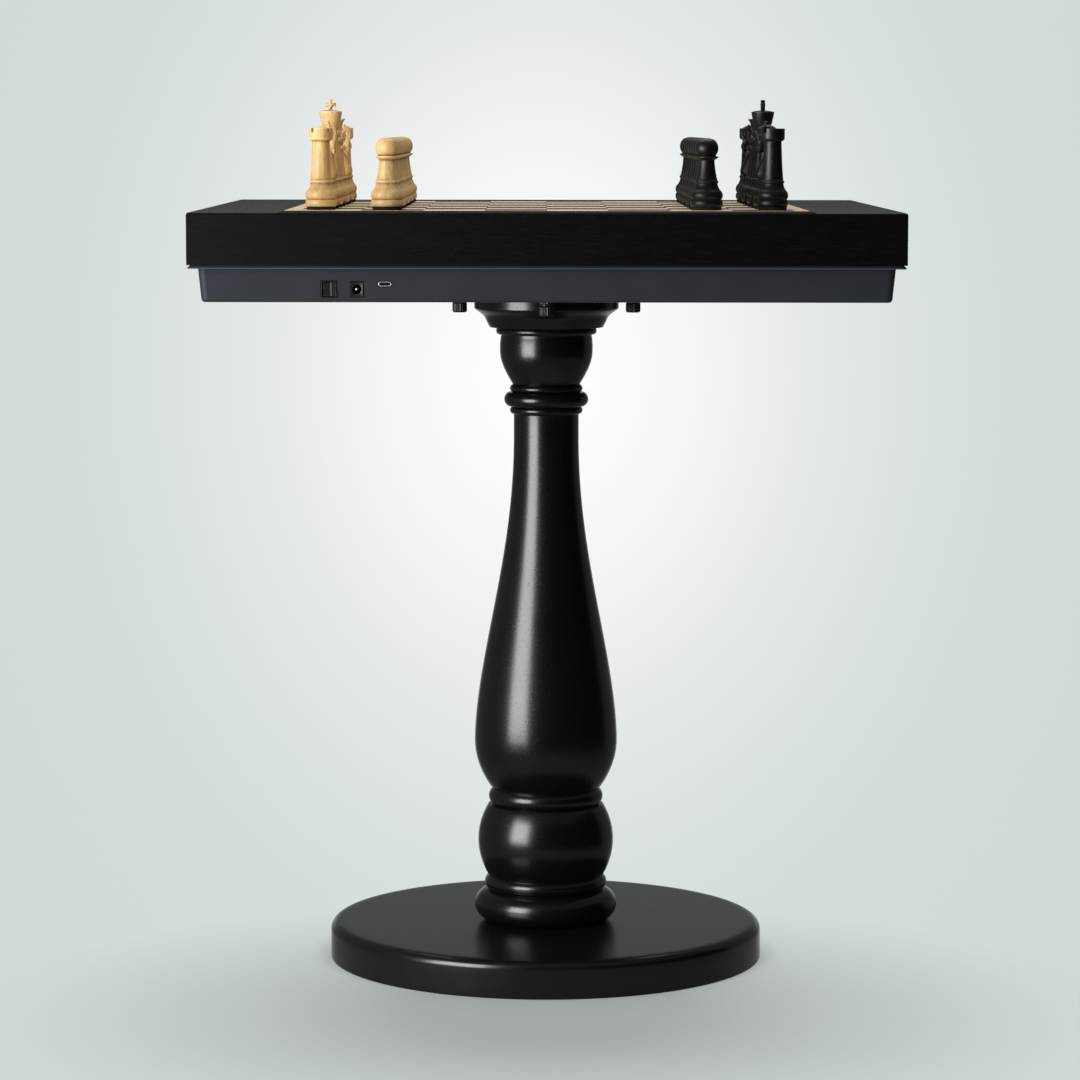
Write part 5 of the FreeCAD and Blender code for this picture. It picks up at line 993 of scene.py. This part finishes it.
def bishop():
    """An egg with a small ball on it and one slanting cut."""
    finial = ball(1.3, 1.9, BISHOP_TOP)
    low = finial[0][1] - 13.6
    steps = collared(BISHOP_BASE, BISHOP_STEM, 4.6, low) + [((6.7, low + 5.4), finial[0]), finial[1]]
    points, hollow = lathe(steps, 150, 128)
    return slant_cut(points, 1.3, low + 5.4, 0.7, 50.0), hollow


def queen():
    """A flared crown with a gouged rim and a small ball."""
    top = ball(1.1, 1.9, QUEEN_TOP)
    rim = top[0][1]
    steps = collared(QUEEN_BASE, QUEEN_STEM, 5.0, rim - 12.4)
    steps += [((5.9, rim - 6.2), (8.4, rim)), (QUEEN_RIM, rim)] + top
    points, hollow = lathe(steps, 130, 162)
    return gouge_rim(points, rim, QUEEN_RIM, QUEEN_POINTS, 1.95, 0.6), hollow


def king():
    """A flared crown with a domed top, ready for its cross."""
    steps = collared(KING_BASE, KING_STEM, 5.4, 56.3) + [((7.2, 62.5), KING_CAP), cap(*KING_CAP, KING_TOP)]
    return lathe(steps, 116, 96)


# %% [markdown]
# ## The king's cross
# The cross flares towards its ends. Its outline is half of the drawing and its mirror image, and it is
# stacked in layers whose edges draw in along the outline's own normal, which rounds it all about.

# %% Cross
CROSS_STEPS = [(0, -1.0), (1.6, -1.0), ((1.1, 1.2), (1.0, 2.5)), ((2.2, 2.4), (3.6, 1.9)), (3.9, 2.2), (3.9, 5.0),
               (3.6, 5.3), ((2.2, 4.8), (1.0, 4.7)), ((1.1, 5.8), (1.6, 7.1)), (1.3, 7.5), (0, 7.5)]
CROSS_LAYERS = [(0.45, -1.6), (0.2, -1.5), (0.06, -1.3), (0, -1.0), (0, 1.0), (0.06, 1.3), (0.2, 1.5), (0.45, 1.6)]


def cross():
    """Layers of one closed outline: point - inset * normal, with both faces capped."""
    half = spread_by_bend(soften(trace(CROSS_STEPS), 0.5, 0.03), 64, 1.5)
    loop = np.concatenate([half[:-1], (half * (-1, 1))[:0:-1]])
    ahead = np.roll(loop, -1, 0) - np.roll(loop, 1, 0)
    normal = np.stack([ahead[:, 1], -ahead[:, 0]], -1) / np.hypot(*ahead.T)[:, None]
    layers = np.array(CROSS_LAYERS)
    flat = loop[None] - layers[:, 0, None, None] * normal[None]
    points = cloud(flat[..., 0], layers[:, 1, None], flat[..., 1] + KING_TOP)
    return points, capped_faces(*flat.shape[:2])


# %% [markdown]
# ## Knight
# A knight is carved, not turned. Sculpting by hand is the usual way, but a carver starts from a side
# view, and so can a formula. The side outline is split at the nose into an outer line, up the back and
# down the face, and an inner line, up the chest and along the jaw. Straight chords join the two, and
# each chord carries a rounded section. Mane, eye, cheek, nostril and mouth are then pressed in or
# raised sideways.

# %% Knight's head
KNIGHT_SIDE = [(-7.4, 0.0), ((-9.0, 15.0), (-7.4, 33.0)), ((-3.8, 38.0), (2.4, 39.4)), (3.6, 40.0), (5.2, 38.8),
               ((8.0, 37.1), (9.2, 32.8)), (7.6, 26.6), ((9.0, 21.0), (6.6, 17.8)), ((4.6, 19.6), (2.6, 18.8)),
               ((6.8, 12.4), (9.6, 5.0)), ((9.4, 2.0), (7.4, 0.0))]
# Chords: where the outer line and the inner line are joined, and half the section's breadth there
KNIGHT_CHORDS = [((-7.4, 0.0), (7.4, 0.0), 6.4), ((-8.6, 7.0), (9.6, 5.0), 6.2), ((-9.0, 15.0), (6.8, 12.4), 5.7),
                 ((-8.2, 27.0), (3.2, 18.0), 5.0), ((-5.4, 36.5), (2.6, 18.9), 4.5), ((2.4, 39.4), (3.5, 19.3), 4.3),
                 ((7.4, 37.6), (4.7, 19.5), 4.2), ((9.2, 32.8), (5.6, 19.0), 3.9), ((7.6, 26.6), (6.4, 18.1), 3.3),
                 ((8.9, 21.8), (8.1, 18.6), 2.7)]
KNIGHT_TALL = 0.975         # the drawing's heights are drawn in by this much
EYE, NOSTRIL, CHEEK, MOUTH = (6.0, 32.6), (7.9, 22.1), (3.4, 25.4), 20.1
STRAND_WIDTH, STRAND_SLANT = 3.4, 1.1


def carving(x, z, toward_back, along):
    """Millimetres raised (or, below 0, cut) at a place of the side view.

    Strands of the mane are |sin| ridges that slant back. Eye, nostril and mouth are Gaussian dips and
    bumps, and the cheek is a disc with a soft edge."""
    mane = smooth_step(toward_back, 0.28, 0.42) * smooth_step(along, 4, 9) * (1 - smooth_step(along, 40, 44))
    raised = mane * (0.2 + 0.55 * np.abs(np.sin(math.pi * (along / STRAND_WIDTH + STRAND_SLANT * toward_back))))
    eye, nostril, cheek = (np.hypot(x - px, z - pz) for px, pz in (EYE, NOSTRIL, CHEEK))
    raised += 0.35 * np.exp(-(eye / 0.7) ** 2) - 0.3 * np.exp(-((eye - 1.4) / 0.5) ** 2)
    raised -= 0.5 * np.exp(-(nostril / 0.55) ** 2)
    raised -= 0.45 * np.exp(-((z - MOUTH) / 0.4) ** 2) * smooth_step(x, 5.6, 7.2) * (z > 17.5)
    return raised + 0.35 * (1 - smooth_step(cheek, 2.2, 5.0)) - 0.15 * np.exp(-((cheek - 5.0) / 0.7) ** 2)


def along_line(line, length):
    """Points of a polyline at given lengths from its start."""
    far = np.concatenate([[0], np.cumsum(np.hypot(*np.diff(line, axis=0).T))])
    return np.stack([np.interp(length, far, column) for column in line.T], -1)


def nearest_lengths(line, marks):
    """Lengths at which a polyline passes nearest to each mark."""
    far = np.concatenate([[0], np.cumsum(np.hypot(*np.diff(line, axis=0).T))])
    return far[np.hypot(*(line[None] - np.array(marks)[:, None]).transpose(2, 0, 1)).argmin(1)]


def knight_head(rows=150, segments=96):
    """P = middle + half chord * c, y = breadth * s, with c and s a rounded cosine and sine of the section."""
    side = soften(trace(KNIGHT_SIDE), 1.2, 0.05)
    nose = np.hypot(*(side - KNIGHT_CHORDS[-1][0]).T).argmin()
    outer, inner = side[:nose + 1], side[:nose - 1:-1]
    far_outer = nearest_lengths(outer, [chord[0] for chord in KNIGHT_CHORDS])
    far_inner = nearest_lengths(inner, [chord[1] for chord in KNIGHT_CHORDS])
    chords = np.column_stack([far_outer, far_inner, [chord[2] for chord in KNIGHT_CHORDS]])
    chords = spread_by_bend(soften(chords, 9.0, 0.1), rows, 0.0)
    left = (chords[-1, 0] - chords[:, 0, None]) / 4.5
    breadth = chords[:, 2, None] * np.sqrt(1 - np.clip(1 - left, 0, 1) ** 2)
    back, front = along_line(outer, chords[:, 0]), along_line(inner, chords[:, 1])
    turn = ring_angles(segments)
    c = np.sign(np.cos(turn)) * np.abs(np.cos(turn)) ** 0.9
    s = np.sign(np.sin(turn)) * np.abs(np.sin(turn)) ** 0.75
    x = (back[:, 0] + front[:, 0])[:, None] / 2 + (back[:, 0] - front[:, 0])[:, None] / 2 * c
    z = (back[:, 1] + front[:, 1])[:, None] / 2 + (back[:, 1] - front[:, 1])[:, None] / 2 * c
    cut = carving(x, z, np.broadcast_to(c, x.shape), np.broadcast_to(chords[:, 0, None], x.shape))
    cut = cut * smooth_step(np.abs(s), 0.15, 0.5) * smooth_step(breadth, 0.3, 1.5)
    y = breadth * s + np.sign(s) * cut
    points = np.stack([x, y, z * KNIGHT_TALL + STEM_FOOT], -1)
    sole = np.broadcast_to([0.0, 0.0, STEM_FOOT - 0.6], (1, segments, 3))
    points = np.concatenate([sole, points])
    hollow = np.concatenate([np.zeros(segments), -0.7 * cut.ravel()])
    return points.reshape(-1, 3), grid_faces(rows + 1, segments), hollow


def knight_ear(side):
    """A leaf: its half width is sin(pi t)^0.7 over its length, hollow in front and tilted outwards."""
    t = np.linspace(0, 1, 20)[:, None]
    turn = ring_angles(24)
    width = np.sin(math.pi * t) ** 0.7 * (1 - 0.45 * t)
    x = 2.6 + 1.1 * t + 1.35 * width * np.cos(turn) - 0.7 * width * np.clip(np.cos(turn), 0, 1) ** 2
    y = side * (2.1 + 0.5 * t) + 1.0 * width * np.sin(turn)
    z = (36.0 + 4.2 * t) * KNIGHT_TALL + STEM_FOOT
    return cloud(x, y, z), grid_faces(*x.shape)


def knight():
    """Turned foot, carved head and two ears."""
    base, hollow = lathe(foot(KNIGHT_BASE, KNIGHT_STEM) + [(0, STEM_FOOT)], 70, 96)
    head, head_faces, head_hollow = knight_head()
    ears = [knight_ear(side) for side in (-1, 1)]
    points, faces = join_parts([(base.reshape(-1, 3), grid_faces(70, 96)), (head, head_faces)] + ears)
    plain = np.zeros(len(points) - len(hollow) - len(head_hollow))
    return points, faces, np.concatenate([hollow, head_hollow, plain])


# %% [markdown]
# ## Setting up both sides
# Each kind is built once. Every man is a copy of that mesh, turned and moved to where it stands, so its
# own grain differs from its neighbours' because the finish reads places in the room. The men stand a
# little outwards from the middle of their squares, as in the photograph.

# %% Setting up
BACK_RANK = ("rook", "knight", "bishop", "king", "queen", "bishop", "knight", "rook")
BACK_PLACE, PAWN_PLACE = 157.5, 111.4
DARK_TURN = {"knight": 180, "bishop": 180, "king": 90}
TURNED = {"pawn": pawn, "rook": rook, "bishop": bishop, "queen": queen, "king": king}


def kind_mesh(kind):
    """The mesh of one kind at the origin, in metres, with the felt as its second material."""
    if kind == "knight":
        points, faces, hollow = knight()
    else:
        grid, hollow = TURNED[kind]()
        points, faces = grid.reshape(-1, 3), grid_faces(*grid.shape[:2])
    if kind == "king":
        extra, extra_faces = cross()
        points, faces = join_parts([(points, faces), (extra, extra_faces)])
        hollow = np.concatenate([hollow, np.zeros(len(extra))])
    piece = new_object("pattern_" + kind, points * MM, faces, 42.0, marks=hollow)
    mesh = piece.data
    bpy.data.objects.remove(piece)
    on_felt = read(mesh.polygons, "center")[:, 2] < (FELT_TOP - 0.05) * MM
    mesh.polygons.foreach_set("material_index", on_felt.astype(np.int32))
    return mesh


def set_man(pattern, node, turn, place):
    """A copy of a pattern, turned about the upright axis and moved to its place."""
    mesh = pattern.copy()
    mesh.name = "carved_" + node
    x, y, z = read(mesh.vertices, "co").T
    ahead, side = math.cos(math.radians(turn)), math.sin(math.radians(turn))
    moved = np.stack([x * ahead - y * side, x * side + y * ahead, z], -1) + np.array(place) * MM
    mesh.vertices.foreach_set("co", moved.ravel())
    piece = bpy.data.objects.new(mesh.name, mesh)
    bpy.context.scene.collection.objects.link(piece)
    light = node.startswith("white")
    finish = [BOXWOOD if light else EBONISED, FELT]
    return dress(piece, node, finish, node)


patterns = {kind: kind_mesh(kind) for kind in ("pawn", "rook", "knight", "bishop", "queen", "king")}
for step, letter in enumerate("hgfedcba"):
    y = (step - 3.5) * SQUARE / MM
    for colour, way in (("white", -1), ("black", 1)):
        set_man(patterns["pawn"], colour + "_pawn_" + letter, 0, (way * PAWN_PLACE, y, BOARD_TOP))
        kind = BACK_RANK[step]
        node = colour + "_" + kind + ("" if kind in ("king", "queen") else "_" + letter)
        turn = DARK_TURN.get(kind, 0) if colour == "black" else 0
        set_man(patterns[kind], node, turn, (way * BACK_PLACE, y, BOARD_TOP))
print("faces of each kind:", {kind: len(mesh.polygons) for kind, mesh in patterns.items()})
for mesh in patterns.values():
    bpy.data.meshes.remove(mesh)

# %% [markdown]
# ## Field and inner works
# The field is flat veneer, so its solids stay as they are and only take a finish. The drive under it
# is hidden, but it still gets real finishes, because someone may take the tray off: bright rods, dark
# motors, rubber belts and green circuit boards with copper lines.

# %% Finishes of the kept parts
SOLDER_MASK, MASKED_COPPER = (0.010, 0.075, 0.035), (0.035, 0.17, 0.075)


def circuit_board():
    """Green solder mask over copper lines: the joints of a brick pattern, some of them left out."""
    material, tree, shader = new_material("circuit_board", SOLDER_MASK, 0.32)
    place = object_place(tree)
    given = {"Vector": place, "Scale": 90.0, "Mortar Size": 0.06, "Color1": (0, 0, 0, 1), "Color2": (0, 0, 0, 1)}
    lines = add(tree, "TexBrick", {**given, "Mortar": (1, 1, 1, 1)}).outputs["Color"]
    gaps = spread(tree, noise(tree, place, 60, 1), 0.45, 0.55)
    tracks = calc(tree, "MULTIPLY", lines, gaps)
    feed(tree, shader, blend(tree, tracks, SOLDER_MASK, MASKED_COPPER))
    bump(tree, shader, tracks, 0.00004)
    return material


CIRCUIT_BOARD = circuit_board()
KEPT = {"board_panel": DARK_SQUARE, "light_inlay": LIGHT_SQUARE, "sensor_board": CIRCUIT_BOARD,
        "main_circuit_board": CIRCUIT_BOARD, "steel_fasteners": BRIGHT_STEEL, "x_guide_rods": BRIGHT_STEEL,
        "bridge": DRIVE_PLASTIC, "magnet_carriage": DRIVE_PLASTIC, "electromagnet": MAGNET_METAL,
        "x_motor": MOTOR_METAL, "y_motor": MOTOR_METAL, "x_belt": RUBBER, "y_belt": RUBBER,
        "x_drive_pulley": PULLEY_METAL, "x_idler_pulley": PULLEY_METAL, "y_drive_pulley": PULLEY_METAL,
        "y_idler_pulley": PULLEY_METAL}


def refinish(node, material):
    """Put one finish in every material slot of a kept part."""
    kept = nodes[node]
    if not kept.material_slots:
        kept.data.materials.append(material)
    for slot in kept.material_slots:
        slot.material = material


for node, material in KEPT.items():
    refinish(node, material)
print("kept parts:", len(KEPT))

# %% [markdown]
# ## Camera
# The photograph was taken from about three metres with a long lens, a little above the board and
# almost square to it. A long lens far away keeps the pedestal's curves true.

# %% Camera
scene = bpy.context.scene
scene.view_settings.view_transform = "Standard"
lens = bpy.data.cameras.new("photo_camera")
lens.lens = 132.60
lens.sensor_width = 36.0
CAMERA_PLACE = (-0.00442, -2.93794, 0.61708)
LOOK_DOWN, ROLL, LOOK_LEFT = 5.928, -0.065, 0.009          # degrees
camera = bpy.data.objects.new("photo_camera", lens)
camera.location = CAMERA_PLACE
camera.rotation_euler = (math.radians(90 - LOOK_DOWN), math.radians(ROLL), math.radians(LOOK_LEFT))
scene.collection.objects.link(camera)
scene.camera = camera
print("camera at", CAMERA_PLACE, "looks down", LOOK_DOWN, "degrees")

# %% [markdown]
# ## Backdrop and floor
# Round the object is pale paper with a soft glow behind it. The world paints it from the direction of
# the ray, for camera, glossy and transmission rays only, so that it shows in the lacquer too but adds
# no light of its own. In the lacquer the paper ends at a dim room, as it would in a studio. All other
# rays see an even grey. The floor is a pale disc that fades out, so it takes the shadow and has no edge.

# %% World and floor
SWEEP = (0.637, 0.702, 0.694)
GLOW = (0.985, 0.99, 0.985)
GLOW_PLACE = (0.0, math.cos(math.radians(3.5)), -math.sin(math.radians(3.5)))
GLOW_FALL = 372.0
GLOW_TALL = 0.77
ROOM_GREY = (0.42, 0.42, 0.42)
DIM_ROOM = (0.17, 0.17, 0.17)
PAPER_TOP, CEILING = math.sin(math.radians(4)), math.sin(math.radians(10))
PAPER_SIDE, SIDE_WALL = math.cos(math.radians(10)), math.cos(math.radians(24))


def studio_world():
    """Paper with a glow exp(-GLOW_FALL d^2 / 2) for seen rays, ending at a dim room in mirrors; else grey."""
    world = bpy.data.worlds.new("studio")
    world.use_nodes = True
    tree = world.node_tree
    way = add(tree, "TexCoord").outputs["Generated"]
    apart = add(tree, "VectorMath", {0: way, 1: GLOW_PLACE}, operation="SUBTRACT").outputs[0]
    apart = stretch(tree, apart, (1, 1, GLOW_TALL))
    apart = add(tree, "VectorMath", {0: apart, 1: apart}, operation="DOT_PRODUCT").outputs["Value"]
    glow = calc(tree, "EXPONENT", calc(tree, "MULTIPLY", apart, -GLOW_FALL / 2))
    axes = add(tree, "SeparateXYZ", {0: way}).outputs
    level = calc(tree, "SQRT", calc(tree, "SUBTRACT", 1.0, calc(tree, "MULTIPLY", axes["Z"], axes["Z"])))
    facing = calc(tree, "DIVIDE", axes["Y"], calc(tree, "MAXIMUM", level, 0.01))
    below = spread(tree, axes["Z"], PAPER_TOP, CEILING, 1.0, 0.0)
    lit = calc(tree, "MULTIPLY", below, spread(tree, facing, SIDE_WALL, PAPER_SIDE))
    dim = blend(tree, 1.0, SWEEP, DIM_ROOM, "MULTIPLY")
    paper = blend(tree, glow, SWEEP, GLOW)
    path = add(tree, "LightPath").outputs
    mirrored = calc(tree, "MAXIMUM", path["Is Glossy Ray"], path["Is Transmission Ray"])
    room = blend(tree, mirrored, ROOM_GREY, blend(tree, lit, dim, paper))
    seen = blend(tree, path["Is Camera Ray"], room, paper)
    tree.links.new(seen, tree.nodes["Background"].inputs["Color"])
    return world


SHADE_PLACE = (0.0, -0.2, 0.0)


def fading_floor(radius, segments=96):
    """A flat disc under the base. It fades out round the shadow in front and round the base's foot."""
    rings = np.array([0.0, 0.2, 0.5, 1.0]) * radius / MM
    line = np.stack([rings, np.zeros(len(rings))], -1)
    disc = new_object("paper_floor", *turn_profile(line, segments))
    material, tree, shader = new_material("paper_floor", (0.70, 0.74, 0.74), 0.9, specular=0.1)
    away = add(tree, "VectorMath", {0: object_place(tree), 1: SHADE_PLACE}, operation="DISTANCE").outputs["Value"]
    grain = noise(tree, object_place(tree), 900, 2)
    feed(tree, shader, blend(tree, grain, (0.69, 0.73, 0.73), (0.71, 0.75, 0.75)))
    shade = spread(tree, away, 0.10, 0.41, 0.66, 0.0)
    out = add(tree, "VectorMath", {0: object_place(tree)}, operation="LENGTH").outputs["Value"]
    contact = spread(tree, out, BASE_RADIUS * MM, BASE_RADIUS * MM + 0.03, 0.6, 0.0)
    tree.links.new(calc(tree, "MAXIMUM", shade, contact), shader.inputs["Alpha"])
    disc.data.materials.append(material)
    return disc


scene.world = studio_world()
floor = fading_floor(0.95)
print("floor faces", len(floor.data.polygons))

# %% [markdown]
# ## Lamps
# A large softbox from the left draws the long streak down the lacquer, and a wide one overhead, a
# little behind the object, lights the field and throws the box's shadow forwards. Black lacquer shows
# whatever stands round it, so a dark card stands in front, seen in reflections only, as a
# photographer would place it.

# %% Softboxes and card
def softbox(name, place, target, size, watts):
    """A rectangular area lamp at place that faces target."""
    lamp = bpy.data.lights.new(name, "AREA")
    lamp.shape = "RECTANGLE"
    lamp.size, lamp.size_y = size
    lamp.energy = watts
    holder = bpy.data.objects.new(name, lamp)
    holder.location = place
    holder.rotation_euler = (Vector(target) - Vector(place)).to_track_quat("-Z", "Y").to_euler()
    scene.collection.objects.link(holder)
    return holder


def dark_card(radius, low, high, start, end, columns=60):
    """An upright curved card: radius (sin a, -cos a) for a from start to end degrees."""
    angle = np.radians(np.linspace(start, end, columns))
    points = cloud(radius * np.sin(angle), -radius * np.cos(angle), np.array([[low], [high]]))
    card = new_object("dark_card", points, grid_faces(2, columns, wrap_columns=False))
    material, tree, shader = new_material("dark_card", (0.002, 0.002, 0.002), 1.0, specular=0.0)
    card.data.materials.append(material)
    for kind in ("camera", "diffuse", "shadow", "transmission"):
        setattr(card, "visible_" + kind, False)


side = softbox("left_softbox", place=(-0.93, -0.90, 0.47), target=(0, 0, 0.35), size=(0.71, 0.82), watts=23.0)
unlit = bpy.data.collections.new("not_lit_from_the_left")
unlit.objects.link(floor)
side.light_linking.receiver_collection = unlit
unlit.collection_objects[0].light_linking.link_state = "EXCLUDE"
softbox("top_softbox", place=(0, 0.6, 2.1), target=(0, 0, 0.5), size=(1.7, 1.3), watts=20.0)
dark_card(radius=3.5, low=-0.6, high=2.2, start=-28, end=110)
print("lamps:", len(bpy.data.lights))
